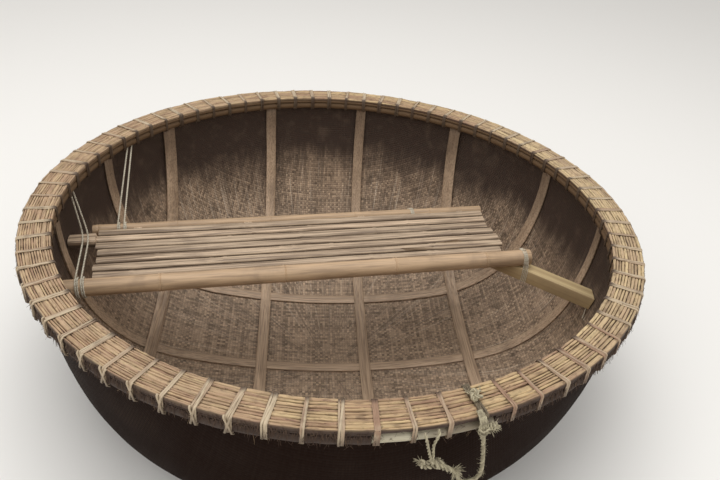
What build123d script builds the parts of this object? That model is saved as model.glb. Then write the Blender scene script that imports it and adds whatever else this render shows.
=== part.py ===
from build123d import *

# Round bamboo basket boat, afloat and laden to its waterline. All sizes are in millimetres.
# The origin is the centre of the boat on the water: X runs roughly along the bench towards its free
# end, Y runs across the boat, away from the side with the rope, and Z points up.
import os
from math import acos, atan2, cos, degrees, hypot, radians, sin, tan

# The space left between two pieces that rest against each other
SEAT = 0.3

# The hull is one woven wall, its outline a chain of tangent arcs from the bottom up
WALL = 12.0
HULL_TOP_R = 950.0
HULL_DEPTH = 767.0
BOTTOM_FLAT_R = 60.0
BOTTOM_ARC_R, BOTTOM_ARC_END = 2400.0, 14.0
BILGE_ARC_R, BILGE_ARC_END = 460.0, 75.0
SIDE_ARC_R, SIDE_ARC_END = 1060.0, 95.0
BOTTOM_STEPS, BILGE_STEPS, SIDE_STEPS = 2, 4, 2

# The rim's top over the water, the strips laid side by side on it, and the hoops inside and outside
RIM_TOP = 580.0
STRIP_COUNT = 10
STRIP_THICK = 12.0
STRIP_GROOVE = 4.0
HOOP_HEIGHT = 40.0
HOOP_SLOPE = 4.0
INNER_HOOP_WIDTH = 34.7
OUTER_HOOP_WIDTH = 46.7

# Lashings round the whole rim, one to each bay; the rope's own lashing takes one bay
LASH_COUNT = 75
LASH_WIDTH = 12.0
LASH_THICK = 3.0
LASH_TAIL = 4.0
ROPE_LASH_AZIMUTH = -72.9
ROPE_LASH_WIDTH = 18.0
ROPE_LASH_THICK = 8.0

# A new length of split bamboo let into the outer hoop, from its cut end to the rope's lashing
NEW_HOOP_START, NEW_HOOP_END = -87.6, -71.0
NEW_HOOP_GAP = 0.05

# Ribs of split bamboo bent over the inside: some run along X and some along Y, over the first
RIB_WIDTH = 34.0
LOWER_RIB_THICK = 9.0
UPPER_RIB_THICK = 15.0
RIBS_ALONG_X_AT_Y = (-415.0, -20.0, 375.0)
RIBS_ALONG_Y_AT_X = (-680.0, -267.0, 144.0, 555.0)

# The bench: two poles with split slats between them on cross bearers. It is turned a little from X,
# and its places are given along it from the boat's centre and across it
BENCH_TURN = 8.4
BENCH_DROP = 236.0
FRONT_POLE_D = 60.0
FRONT_POLE_ACROSS = -82.0
FRONT_POLE_END = 715.0
REAR_POLE_D = 40.0
REAR_POLE_ACROSS = 276.0
REAR_POLE_START, REAR_POLE_END = -848.0, 655.0
SLAT_COUNT = 7
SLAT_WIDTH = 37.0
SLAT_THICK = 12.0
SLAT_LIFT = 2.0
SLAT_START, SLAT_END = -825.0, 648.0
LONG_SLAT = 6
BEARERS_ALONG = (-690.0, -290.0, 150.0, 560.0)
BEARER_WIDTH, BEARER_THICK = 30.0, 14.0

# A squared timber that carries the free end of the bench: it butts against the hull's side, runs
# back under the front pole close to its end and on under the rear one
TIMBER_SIDE = 52.0
TIMBER_FRONT_XY = (930.0, -172.0)
TIMBER_UNDER_POLE = 690.0
TIMBER_PAST_POLE = 50.0

# Slings of two twines side by side, each tied round a pole near its wall end and led up to the inner
# hoop. Those of the front pole pass over the end of the long slat on their way
TWINE_D = 7.0
SLING_SLACK = 0.3
SLING_SIDES = 12
SLING_TOP_R = 925.0
SLING_TOP_Z = 545.0
FRONT_SLING_FOOT, FRONT_SLING_SPREAD = -852.0, 9.0
FRONT_SLING_OVER_SLAT = -856.0
FRONT_SLING_AZIMUTH, FRONT_SLING_FAN = 173.5, 0.55
REAR_SLING_FOOT, REAR_SLING_SPREAD = -749.0, 11.0
REAR_SLING_AZIMUTH, REAR_SLING_FAN = 149.4, 0.7

# The mooring rope: a slack bight that hangs from the rim outside the hull. Each row is a point:
# along the rim from the rope's lashing, out from the rim's edge, down from the rim's top
ROPE_D = 11.0
ROPE_SIDES = 6
ROPE_ROUTE = (
    (-11.0, 19.0, 36.0),
    (12.0, 20.0, 150.0),
    (5.0, 20.0, 198.0),
    (-40.0, 18.5, 201.0),
    (-65.0, 15.0, 141.0),
    (-114.0, 10.0, 108.0),
)
BEND_SHARE = 0.45
KNOT_R = 15.0
KNOT_LENGTH = 26.0
KNOT_CHAMFER = 4.0
TOP_KNOT_R = 20.0
TOP_KNOT_SIDES = 7
TOP_KNOT_OUT = 9.0
TOP_KNOT_HEIGHT = 16.0
TOP_KNOT_CHAMFER = 6.0

# Two strands from the left knot up to the rim's underside; rows as in the rope's route
STRAND_D = 7.0
STRAND_TOPS = ((-150.0, -15.6, 19.0), (-104.0, -15.1, 19.0))

# Sizes worked out from those above
RIM_INNER_R = HULL_TOP_R - WALL - SEAT - INNER_HOOP_WIDTH - LASH_THICK
RIM_OUTER_R = HULL_TOP_R + SEAT + OUTER_HOOP_WIDTH + LASH_THICK
STRIP_BASE = RIM_TOP - STRIP_THICK
HOOP_BASE = STRIP_BASE - HOOP_HEIGHT
HULL_BOTTOM = STRIP_BASE - HULL_DEPTH
RIB_TOP = HOOP_BASE - LASH_THICK - 2 * SEAT
BENCH_Z = RIM_TOP - BENCH_DROP
BAY = 360.0 / LASH_COUNT
BEYOND = 2 * RIM_OUTER_R


def turned(radius, azimuth, z):
    """A point at a radius and an azimuth in degrees."""
    return Vector(radius * cos(radians(azimuth)), radius * sin(radians(azimuth)), z)


def many_sided(radius, z):
    """A level face with one side to each bay of the rim, radius being that to a side's middle."""
    first_corner = ROPE_LASH_AZIMUTH + BAY / 2
    return Pos(0, 0, z) * RegularPolygon(radius, LASH_COUNT, major_radius=False, rotation=first_corner)


def bowl(line):
    """A solid bowl through level many-sided sections, from (radius, height) rows."""
    return loft([many_sided(radius, z) for radius, z in line], ruled=True)


def ring(outline):
    """A closed (radius, height) outline carried round the rim, mitred between bays."""
    corner_r = HULL_TOP_R / cos(radians(BAY / 2))
    corners = [turned(corner_r, ROPE_LASH_AZIMUTH + BAY * (bay + 0.5), 0) for bay in range(LASH_COUNT)]
    start = turned(HULL_TOP_R, ROPE_LASH_AZIMUTH, 0)
    stops = [start] + corners + [start]
    way = Wire([Edge.make_line(a, b) for a, b in zip(stops, stops[1:])])
    upright = Plane(origin=(0, 0, 0), x_dir=turned(1, ROPE_LASH_AZIMUTH, 0),
                    z_dir=turned(1, ROPE_LASH_AZIMUTH - 90, 0))
    section = upright * make_face(Polyline(*outline, close=True))
    return sweep(section, path=way, transition=Transition.RIGHT)


def save(name, *solids):
    """Write one node, its solids side by side."""
    pieces = []
    for solid in solids:
        pieces.extend(solid.solids())
    export_step(Compound(pieces), f"parts/{name}.step")


def arc_stations():
    """Points of the hull's outer outline as (radius, height, slope) from the centre up."""
    arcs = (
        (BOTTOM_ARC_R, 0.0, BOTTOM_ARC_END, BOTTOM_STEPS),
        (BILGE_ARC_R, BOTTOM_ARC_END, BILGE_ARC_END, BILGE_STEPS),
        (SIDE_ARC_R, BILGE_ARC_END, SIDE_ARC_END, SIDE_STEPS),
    )
    r, z = 0.0, 0.0
    stations = []
    for radius, start, end, steps in arcs:
        for step in range(1, steps + 1):
            low = start + (end - start) * (step - 1) / steps
            high = start + (end - start) * step / steps
            r += radius * (sin(radians(high)) - sin(radians(low)))
            z += radius * (cos(radians(low)) - cos(radians(high)))
            stations.append((r, z, high))
    wide = HULL_TOP_R / r
    tall = HULL_DEPTH / z
    return [(wide * r, HULL_BOTTOM + tall * z, slope) for r, z, slope in stations]


def hull_line(inset):
    """The hull's outline moved inwards by inset, from the flat of the bottom to the strips."""
    line = [(BOTTOM_FLAT_R, HULL_BOTTOM + inset)]
    for r, z, slope in arc_stations()[:-1]:
        line.append((r - inset * sin(radians(slope)), z + inset * cos(radians(slope))))
    line.append((HULL_TOP_R - inset, STRIP_BASE))
    return line


def cavity(inset):
    """What lies inside the hull's outline moved inwards by inset, up to the top of the ribs."""
    line = hull_line(inset)
    below = [point for point in line if point[1] < RIB_TOP]
    (low_r, low_z), (high_r, high_z) = below[-1], line[len(below)]
    top_r = low_r + (high_r - low_r) * (RIB_TOP - low_z) / (high_z - low_z)
    return bowl(below + [(top_r, RIB_TOP)])


def make_strips():
    """The strips round the top of the rim, bound into one band, each with a ridge along it."""
    first_r = RIM_INNER_R + LASH_THICK
    pitch = (RIM_OUTER_R - LASH_THICK - first_r) / STRIP_COUNT
    outline = [(first_r, STRIP_BASE), (first_r, RIM_TOP - STRIP_GROOVE)]
    for index in range(STRIP_COUNT):
        left = first_r + index * pitch
        outline.append((left + pitch / 2, RIM_TOP))
        outline.append((left + pitch, RIM_TOP - STRIP_GROOVE))
    outline.append((first_r + STRIP_COUNT * pitch, STRIP_BASE))
    return ring(outline)


def make_inner_hoop():
    """The hoop inside the hull's edge, sloped off underneath."""
    near = RIM_INNER_R + LASH_THICK
    far = near + INNER_HOOP_WIDTH
    return ring([(near, STRIP_BASE - SEAT), (far, STRIP_BASE - SEAT), (far, HOOP_BASE),
                 (near + HOOP_SLOPE, HOOP_BASE), (near, HOOP_BASE + HOOP_SLOPE)])


def make_outer_hoop():
    """The hoop outside the hull's edge, sloped off underneath."""
    near = HULL_TOP_R + SEAT
    far = near + OUTER_HOOP_WIDTH
    return ring([(near, STRIP_BASE - SEAT), (far, STRIP_BASE - SEAT), (far, HOOP_BASE + HOOP_SLOPE),
                 (far - HOOP_SLOPE, HOOP_BASE), (near, HOOP_BASE)])


def wedge(start, end):
    """A tall sector between two azimuths, to keep or cut part of the outer hoop."""
    bottom = HOOP_BASE - HOOP_HEIGHT
    sector = make_face(Polyline(Vector(0, 0, bottom), turned(BEYOND, start, bottom),
                                turned(BEYOND, end, bottom), close=True))
    return extrude(sector, amount=3 * HOOP_HEIGHT, dir=(0, 0, 1))


def lash_outline(thick):
    """The closed outline of one lashing in the (radius, height) plane, pulled square over the hoops."""
    inner = RIM_INNER_R + LASH_THICK - SEAT
    outer = RIM_OUTER_R - LASH_THICK + SEAT
    low, high = HOOP_BASE - SEAT, RIM_TOP + SEAT
    hull_inner, hull_outer = HULL_TOP_R - WALL - SEAT, HULL_TOP_R + SEAT + LASH_TAIL
    return [(hull_inner, low), (inner, low), (inner, high), (outer, high), (outer, low), (hull_outer, low),
            (hull_outer, low - thick), (outer + thick, low - thick), (outer + thick, high + thick),
            (inner - thick, high + thick), (inner - thick, low - thick), (hull_inner, low - thick)]


def make_lashing(azimuth, width, thick):
    """One lashing over the rim, from the hull's outer face to its inner face."""
    face = make_face(Plane.XZ * Polyline(*lash_outline(thick), close=True))
    return Rot(0, 0, azimuth) * extrude(face, amount=width / 2, both=True)


def slab(low, high):
    """A box between two corners."""
    size = [b - a for a, b in zip(low, high)]
    middle = [(a + b) / 2 for a, b in zip(low, high)]
    return Pos(*middle) * Box(*size)


def strap(layer, along_x, place, width):
    """The part of a layer over the hull's inner face that lies in one upright band."""
    low, high = place - width / 2, place + width / 2
    if along_x:
        return layer & slab((-BEYOND, low, HULL_BOTTOM), (BEYOND, high, RIB_TOP))
    return layer & slab((low, -BEYOND, HULL_BOTTOM), (high, BEYOND, RIB_TOP))


def on_bench(along, across, z):
    """A point given along the bench from the boat's centre, across it and over the water."""
    return turned(along, BENCH_TURN, z) + turned(across, BENCH_TURN + 90, 0)


def make_pole(start, end, across, z, diameter):
    """A round pole along the bench."""
    foot = Plane(origin=on_bench(start, across, z), z_dir=turned(1, BENCH_TURN, 0))
    return foot * Cylinder(diameter / 2, end - start, align=(Align.CENTER, Align.CENTER, Align.MIN))


def squared(start, end, side):
    """A square timber between two points."""
    axis = end - start
    return Plane(origin=start, x_dir=(0, 0, 1), z_dir=axis) * Box(
        side, side, axis.length, align=(Align.CENTER, Align.CENTER, Align.MIN))


def by_rope(along, out, down):
    """A point given along the rim from the rope's lashing, out from its edge and down from its top."""
    here = turned(RIM_OUTER_R + out, ROPE_LASH_AZIMUTH, RIM_TOP - down)
    return here + turned(along, ROPE_LASH_AZIMUTH + 90, 0)


def bend_radii(route):
    """A bend radius for each inner point that leaves a short straight between bends."""
    radii = []
    for before, point, after in zip(route, route[1:], route[2:]):
        arrives, leaves = point - before, after - point
        turn = acos(arrives.normalized().dot(leaves.normalized()))
        radii.append(BEND_SHARE * min(arrives.length, leaves.length) / tan(turn / 2))
        print("rope turns", round(degrees(turn)), "degrees at a radius of", round(radii[-1], 1))
    return radii


def make_rope(route):
    """The rope as a six-sided tube along straight runs joined by tangent arcs."""
    path = FilletPolyline(*route, radius=bend_radii(route))
    section = Plane(origin=path @ 0, z_dir=path % 0) * RegularPolygon(ROPE_D / 2, ROPE_SIDES)
    tube = sweep(section, path=path)
    print("rope length", round(path.length, 1))
    print("rope volume", round(tube.volume), "section times length", round(section.area * path.length))
    return tube


def make_knot(point, towards):
    """A knot on the rope's end, a short six-sided lump on the line away from the rope."""
    axis = (point - towards).normalized()
    section = Plane(origin=point + axis * SEAT, z_dir=axis) * RegularPolygon(KNOT_R, ROPE_SIDES)
    lump = extrude(section, amount=KNOT_LENGTH)
    ends = lump.faces().sort_by(SortBy.AREA)[-2:]
    return chamfer(ends.edges(), KNOT_CHAMFER)


def make_top_knot():
    """The knot on top of the rope's lashing."""
    seat = RIM_TOP + 2 * SEAT + ROPE_LASH_THICK
    lump = extrude(Pos(0, 0, seat) * RegularPolygon(TOP_KNOT_R, TOP_KNOT_SIDES), amount=TOP_KNOT_HEIGHT)
    lump = chamfer(lump.faces().sort_by(Axis.Z)[-1].edges(), TOP_KNOT_CHAMFER)
    return Rot(0, 0, ROPE_LASH_AZIMUTH) * Pos(HULL_TOP_R - WALL + TOP_KNOT_OUT, 0, 0) * lump


def strand(start, end):
    """One twisted strand as a six-sided stick between two points."""
    axis = end - start
    section = Plane(origin=start, z_dir=axis) * RegularPolygon(STRAND_D / 2, ROPE_SIDES)
    return extrude(section, amount=axis.length)


def make_strands(route, knot):
    """Two strands from the rim's underside down to the rope's left knot."""
    foot = route[-1] + (route[-1] - route[-2]).normalized() * KNOT_LENGTH / 2
    first, second = [strand(by_rope(*top), foot) for top in STRAND_TOPS]
    clear_r = RIM_OUTER_R + 2 * SEAT
    rim = many_sided(clear_r, HOOP_BASE - LASH_THICK - 2 * SEAT)
    return first + second - extrude(rim, amount=HOOP_HEIGHT + STRIP_THICK) - knot


def make_bearer(place, base_z, margin):
    """A bearer across the bench between the poles' middles, or with a margin the room for one."""
    low = (place - BEARER_WIDTH / 2 - margin, FRONT_POLE_ACROSS - margin, base_z - BEARER_THICK - margin)
    high = (place + BEARER_WIDTH / 2 + margin, REAR_POLE_ACROSS + margin, base_z + margin)
    return Rot(0, 0, BENCH_TURN) * slab(low, high)


def make_twine(foot, pole_d, *stops):
    """A turn of twine round a pole at foot, then straight runs from its upper side over the stops."""
    hole = pole_d / 2 + SLING_SLACK
    level = 180 / SLING_SIDES
    across = turned(1, BENCH_TURN + 90, 0)
    plane = Plane(origin=foot, x_dir=across, z_dir=turned(1, BENCH_TURN, 0))
    outer = RegularPolygon(hole + TWINE_D, SLING_SIDES, major_radius=False, rotation=level)
    inner = RegularPolygon(hole, SLING_SIDES, major_radius=False, rotation=level)
    turn = extrude(plane * (outer - inner), amount=TWINE_D / 2, both=True)
    away = (stops[0] - foot).dot(across)
    up = stops[0].Z - foot.Z
    turn_r = hole + TWINE_D / 2
    leaves = atan2(up, away) + acos(turn_r / hypot(away, up))
    start = foot + across * turn_r * cos(leaves) + Vector(0, 0, turn_r * sin(leaves))
    path = Polyline(start, *stops)
    section = Plane(origin=start, z_dir=stops[0] - start) * RegularPolygon(TWINE_D / 2, ROPE_SIDES)
    return turn + sweep(section, path=path, transition=Transition.RIGHT)


def sling_top(azimuth):
    """Where a twine reaches the inner hoop."""
    return turned(SLING_TOP_R, azimuth, SLING_TOP_Z)


def make_slat(start, across, base_z):
    """One split slat, flat below and sloped off above."""
    half, quarter = SLAT_WIDTH / 2, SLAT_WIDTH / 4
    edge_z, top_z = base_z + SLAT_THICK / 2, base_z + SLAT_THICK
    outline = [(across - half, base_z), (across + half, base_z), (across + half, edge_z),
               (across + quarter, top_z), (across - quarter, top_z), (across - half, edge_z)]
    face = make_face(Plane.YZ.offset(start) * Polyline(*outline, close=True))
    return Rot(0, 0, BENCH_TURN) * extrude(face, amount=SLAT_END - start, dir=(1, 0, 0))


os.makedirs("parts", exist_ok=True)

save("hull_shell", bowl(hull_line(0)) - bowl(hull_line(WALL)))
save("rim_strips", make_strips())
save("inner_hoop", make_inner_hoop())

outer_hoop = make_outer_hoop()
save("outer_hoop", outer_hoop - wedge(NEW_HOOP_START - NEW_HOOP_GAP, NEW_HOOP_END + NEW_HOOP_GAP))
save("new_outer_hoop", outer_hoop & wedge(NEW_HOOP_START, NEW_HOOP_END))

lash_azimuths = [ROPE_LASH_AZIMUTH + BAY * bay for bay in range(1, LASH_COUNT)]
lashings = [make_lashing(azimuth, LASH_WIDTH, LASH_THICK) for azimuth in lash_azimuths]
save("rim_lashings", *lashings)
rope_lashing = make_lashing(ROPE_LASH_AZIMUTH, ROPE_LASH_WIDTH, ROPE_LASH_THICK)
save("rope_lashing", rope_lashing)

# The ribs along Y are bent over those along X and are notched to clear them
inside = cavity(WALL + SEAT)
lower_layer = inside - cavity(WALL + SEAT + LOWER_RIB_THICK)
upper_layer = inside - cavity(WALL + SEAT + UPPER_RIB_THICK)
notch_layer = cavity(WALL) - cavity(WALL + 2 * SEAT + LOWER_RIB_THICK)
notches = []
for number, place in enumerate(RIBS_ALONG_X_AT_Y, 1):
    notches.append(strap(notch_layer, True, place, RIB_WIDTH + 2 * SEAT))
    save(f"long_rib_{number}", strap(lower_layer, True, place, RIB_WIDTH))
for number, place in enumerate(RIBS_ALONG_Y_AT_X, 1):
    rib = strap(upper_layer, False, place, RIB_WIDTH)
    for notch in notches:
        rib = rib - notch
    save(f"cross_rib_{number}", rib)

timber_z = BENCH_Z - FRONT_POLE_D / 2 - SEAT - TIMBER_SIDE / 2
timber_front = Vector(*TIMBER_FRONT_XY, timber_z)
timber_line = (on_bench(TIMBER_UNDER_POLE, FRONT_POLE_ACROSS, timber_z) - timber_front).normalized()
across_bench = turned(1, BENCH_TURN + 90, 0)
timber_across = REAR_POLE_ACROSS + TIMBER_PAST_POLE - timber_front.dot(across_bench)
timber_back = timber_front + timber_line * (timber_across / timber_line.dot(across_bench))
save("cross_timber", squared(timber_back, timber_front - timber_line * BEYOND, TIMBER_SIDE) & inside)

rear_pole_z = BENCH_Z - (FRONT_POLE_D - REAR_POLE_D) / 2
front_pole = make_pole(-BEYOND, FRONT_POLE_END, FRONT_POLE_ACROSS, BENCH_Z, FRONT_POLE_D) & inside
rear_pole = make_pole(REAR_POLE_START, REAR_POLE_END, REAR_POLE_ACROSS, rear_pole_z, REAR_POLE_D)
slat_base = BENCH_Z + SLAT_LIFT

# The bearers are let into both poles
for place in BEARERS_ALONG:
    mortise = make_bearer(place, slat_base, SEAT)
    front_pole = front_pole - mortise
    rear_pole = rear_pole - mortise
save("bench_front_pole", front_pole)
save("bench_rear_pole", rear_pole)
save("bench_bearers", *[make_bearer(place, slat_base, 0) for place in BEARERS_ALONG])

# The slats leave room for the turns of twine round the rear pole
slats_from = FRONT_POLE_ACROSS + FRONT_POLE_D / 2
slats_to = REAR_POLE_ACROSS - REAR_POLE_D / 2 - SLING_SLACK - TWINE_D - SEAT
slat_pitch = (slats_to - slats_from) / SLAT_COUNT
for number in range(1, SLAT_COUNT + 1):
    across = slats_from + (number - 0.5) * slat_pitch
    if number == LONG_SLAT:
        slat = make_slat(-BEYOND, across, slat_base + SEAT) & inside
    else:
        slat = make_slat(SLAT_START, across, slat_base + SEAT)
    save(f"bench_slat_{number}", slat)

over_slat_z = slat_base + SLAT_THICK + 2 * SEAT + TWINE_D / 2
over_slat_across = slats_from + (LONG_SLAT - 0.5) * slat_pitch
twines = []
for side in (-1, 1):
    front_foot = on_bench(FRONT_SLING_FOOT + side * FRONT_SLING_SPREAD, FRONT_POLE_ACROSS, BENCH_Z)
    over_slat = on_bench(FRONT_SLING_OVER_SLAT + side * FRONT_SLING_SPREAD, over_slat_across, over_slat_z)
    front_top = sling_top(FRONT_SLING_AZIMUTH - side * FRONT_SLING_FAN)
    twines.append(make_twine(front_foot, FRONT_POLE_D, over_slat, front_top) & inside)
    rear_foot = on_bench(REAR_SLING_FOOT + side * REAR_SLING_SPREAD, REAR_POLE_ACROSS, rear_pole_z)
    rear_top = sling_top(REAR_SLING_AZIMUTH - side * REAR_SLING_FAN)
    twines.append(make_twine(rear_foot, REAR_POLE_D, rear_top) & inside)
save("bench_slings", *twines)

rope_points = [by_rope(*row) for row in ROPE_ROUTE]
save("mooring_rope", make_rope(rope_points))
save("rope_knot_right", make_knot(rope_points[0], rope_points[1]) - rope_lashing)
save("rope_knot_top", make_top_knot())
left_knot = make_knot(rope_points[-1], rope_points[-2])
save("rope_knot_left", left_knot)
save("rope_strands", make_strands(rope_points, left_knot))
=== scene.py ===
import math
import random
from contextlib import contextmanager

import bpy
from mathutils import Matrix, Vector


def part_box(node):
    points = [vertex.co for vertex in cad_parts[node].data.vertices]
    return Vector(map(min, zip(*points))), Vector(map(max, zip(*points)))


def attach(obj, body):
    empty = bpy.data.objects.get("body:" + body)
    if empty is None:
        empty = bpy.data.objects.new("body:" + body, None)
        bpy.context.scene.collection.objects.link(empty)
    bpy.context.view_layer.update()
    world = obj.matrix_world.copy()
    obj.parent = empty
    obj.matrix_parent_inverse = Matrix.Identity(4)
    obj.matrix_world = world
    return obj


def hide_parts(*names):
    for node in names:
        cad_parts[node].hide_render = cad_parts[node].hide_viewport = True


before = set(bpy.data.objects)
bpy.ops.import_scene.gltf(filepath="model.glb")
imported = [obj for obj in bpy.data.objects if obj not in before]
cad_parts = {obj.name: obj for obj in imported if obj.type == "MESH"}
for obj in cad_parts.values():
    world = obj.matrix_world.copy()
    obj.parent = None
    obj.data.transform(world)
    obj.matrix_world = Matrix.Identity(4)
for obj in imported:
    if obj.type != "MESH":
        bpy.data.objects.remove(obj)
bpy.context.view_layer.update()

bl_info = {
    "name": "Basket Boat",
    "version": (1, 0, 0),
    "blender": (4, 5, 0),
    "location": "3D View > Sidebar > Basket Boat",
    "description": "Builds a round woven bamboo basket boat round its packed frame",
    "category": "Object",
}

# Places that the frame settles, in metres. Z is 0 at the waterline
RIM_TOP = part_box("rim_strips")[1].z
STRIP_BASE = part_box("rim_strips")[0].z
HOOP_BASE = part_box("inner_hoop")[0].z
HULL_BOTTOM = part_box("hull_shell")[0].z

# The rim and the hull, repeated from the frame's own source in metres
HULL_TOP_R = 0.950
WALL = 0.012
SEAT = 0.0003
RIM_INNER_R = 0.900
RIM_OUTER_R = 1.000
LASH_COUNT = 75
BAY = 360 / LASH_COUNT
ROPE_AZIMUTH = -72.9
NEW_HOOP_START, NEW_HOOP_END = -87.6, -71.0
# How far the new hoop length's cut end stands past the lashing that starts it, in degrees
CUT_END = 0.55
RIBS_ALONG_X_AT_Y = (-0.415, -0.020, 0.375)
RIBS_ALONG_Y_AT_X = (-0.680, -0.267, 0.144, 0.555)
HULL_ARCS = ((2.400, 0, 14, 10), (0.460, 14, 75, 16), (1.060, 75, 95, 8))

# The bench, likewise. It is turned a little from X, and its places are given along it from the boat's
# centre and across it
BENCH_TURN = 8.4
BENCH_Z = 0.344
FRONT_POLE_D, FRONT_POLE_ACROSS = 0.060, -0.082
FRONT_POLE_START, FRONT_POLE_END = -0.920, 0.715
REAR_POLE_D, REAR_POLE_ACROSS = 0.040, 0.276
REAR_POLE_START, REAR_POLE_END = -0.848, 0.655
REAR_POLE_Z = BENCH_Z - (FRONT_POLE_D - REAR_POLE_D) / 2
SLAT_COUNT, LONG_SLAT = 7, 6
SLAT_WIDTH, SLAT_THICK = 0.037, 0.012
SLAT_START, SLAT_END, LONG_SLAT_START = -0.825, 0.648, -0.918
SLAT_BASE = BENCH_Z + 0.002
SLATS_FROM, SLATS_TO = -0.052, 0.2469
BEARERS_ALONG = (-0.690, -0.290, 0.150, 0.560)
BEARER_WIDTH, BEARER_THICK = 0.030, 0.014
TIMBER_FRONT = (0.930, -0.172)
TIMBER_UNDER_POLE = (0.690, FRONT_POLE_ACROSS)
FRONT_SLING_FOOT, FRONT_SLING_SPREAD = -0.852, 0.009
FRONT_SLING_OVER_SLAT = -0.856
FRONT_SLING_AZIMUTH, FRONT_SLING_FAN = 173.5, 0.55
REAR_SLING_FOOT, REAR_SLING_SPREAD = -0.749, 0.011
REAR_SLING_AZIMUTH, REAR_SLING_FAN = 149.4, 0.7

# Points of the rope's route: along the rim from its lashing, out from the rim's edge, down from its top
ROPE_D = 0.011
ROPE_ROUTE = (
    (-0.011, 0.0190, 0.036),
    (0.012, 0.0200, 0.150),
    (0.005, 0.0200, 0.198),
    (-0.040, 0.0185, 0.201),
    (-0.065, 0.0150, 0.141),
    (-0.114, 0.0100, 0.108),
)

# The camera of the photograph
CAMERA_PLACE = Vector((-0.1465, -1.9949, 1.7388))
CAMERA_FORWARD = Vector((0.09549, 0.82993, -0.54963))
CAMERA_UP = Vector((-0.02337, 0.55387, 0.83227))
CAMERA_LENS = 34.0
CAMERA_SENSOR = 36

# Steps of round pieces and counts of fibres
BOWL_SIDES = 225
BAND_STEPS, BED_STEPS, NEW_LENGTH_STEPS = 240, 150, 24
HANGING_FIBRES, LOOSE_FIBRES = 4200, 1500
RING_ANGLES = (0, 1.05, 2.1, 3.14, 4.2, 5.25)

# Small work that the frame leaves out, in metres; azimuths in degrees
RIB_SPLIT_ASIDE, RIB_SPLIT_WIDTH, RIB_CROWN = 0.0088, 0.0162, 0.0025
EDGE_TURNS_FROM, EDGE_TURNS_TO = 203, 257
EDGE_TURN_CROSSING = 0.024
SLING_TOP_R = 0.922

# Bays whose direction has an X under the first value have strips narrower by the second
FINER_LEFT_OF, FINER_SHARE = -0.35, 0.72

# The stage: each lamp's place, size and power, and the plain world
LAMPS = (
    ("key", (-0.2, 0.3, 6.4), 4.6, 215),
    ("fill", (-3.4, -2.6, 4.4), 3.4, 52),
    ("front", (1.8, -3.8, 3.4), 2.8, 26),
)
LAMPS_LOOK_AT = Vector((0, 0, 0.3))
WORLD_COLOUR = (1.0, 0.985, 0.965, 1)
WORLD_STRENGTH, WORLD_SEEN_CHANGE = 0.64, -0.10
FLOOR_SIDES, FLOOR_REACH = 180, 30


def paint(red, green, blue):
    """A colour as a painter's 0 to 255 values, made linear for the shaders."""
    def linear(part):
        part /= 255
        return part / 12.92 if part <= 0.04045 else ((part + 0.055) / 1.055) ** 2.4
    return (linear(red), linear(green), linear(blue))


def colour(name, description, value):
    """A colour property."""
    return bpy.props.FloatVectorProperty(
        name=name, description=description, subtype="COLOR", size=3, min=0, max=1, default=value)


def length(name, description, value):
    """A length property in metres."""
    return bpy.props.FloatProperty(name=name, description=description, default=value, min=0.0001,
                                   unit="LENGTH", precision=4)


class BoatSizes(bpy.types.PropertyGroup):
    """Sizes of the boat's small repeated pieces."""
    strip_width: length("Strip width", "Usual width of one bamboo strip on the rim", 0.0094)
    strip_gap: length("Strip gap", "Open groove between two strips of the rim", 0.0012)
    strand_width: length("Lashing strand width", "Width of one flat strand of a rim lashing", 0.0050)
    strand_thick: length("Lashing strand thickness", "Thickness of one flat strand of a rim lashing", 0.0019)
    splint_width: length("Splint width", "Width of one woven splint of the hull", 0.0105)
    twine_width: length("Twine width", "Diameter of the twine tied round the timber", 0.0034)
    sling_width: length("Sling width", "Diameter of one twine of the bench slings", 0.0062)
    fibre_length: length("Fibre length", "Usual length of one frayed fibre at the rim's edge", 0.016)
    seed: bpy.props.IntProperty(name="Seed", description="Start of every random draw", default=11, min=0)


class BoatColours(bpy.types.PropertyGroup):
    """Colours of the boat's bamboo, wood, rattan and rope."""
    straw: colour("Straw", "Sunny bamboo strips", paint(196, 168, 126))
    pink_tan: colour("Pink tan", "Reddish older strips", paint(152, 116, 94))
    grey_beige: colour("Grey beige", "Weathered strips", paint(186, 158, 128))
    # The groove colour is dirt, and the strip finish also paints the shade in the grooves and beside the
    # lashings with it
    groove: colour("Groove", "Dirt between the strips", paint(70, 46, 32))
    rattan: colour("Rattan", "Split rattan of the lashings", paint(150, 118, 94))
    rattan_pale: colour("Pale rattan", "Bleached turns of the lashings", paint(190, 172, 144))
    # The hoop colour is weathered brown, darkened further as painted shade of the rim's outer side; the
    # finishes also paint shade with it
    hoop: colour("Hoop", "Weathered hoops under the rim", paint(54, 36, 25))
    inner_hoop: colour("Inner hoop", "The hoop inside the rim", paint(122, 94, 62))
    fringe: colour("Fringe", "Frayed fibres at the rim's edge", paint(92, 71, 51))
    new_bamboo: colour("New bamboo", "The pale new length of the outer hoop", paint(206, 196, 170))
    resin: colour("Resin", "Dark coat outside the hull", paint(29, 16, 10))
    # The weave colour is dirty splints darkened further by a painted shadow of the rim; the pale weave colour
    # is worn splints brightened as painted sunlight
    weave: colour("Weave", "Bamboo splints inside the hull", paint(54, 33, 24))
    weave_pale: colour("Pale weave", "Worn splints low inside the hull", paint(216, 186, 156))
    rib: colour("Rib", "Split bamboo ribs", paint(194, 168, 140))
    pole: colour("Pole", "Worn poles of the bench", paint(200, 168, 130))
    slat: colour("Slat", "Split slats of the bench", paint(204, 182, 154))
    timber: colour("Timber", "Sawn wood under the bench", paint(216, 192, 142))
    twine: colour("Twine", "Twine of the bench slings", paint(224, 216, 196))
    rope: colour("Rope", "Weathered mooring rope", paint(196, 186, 156))
    floor: colour("Floor", "The plain floor of the stage", paint(236, 234, 230))


# Shader helpers


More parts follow.
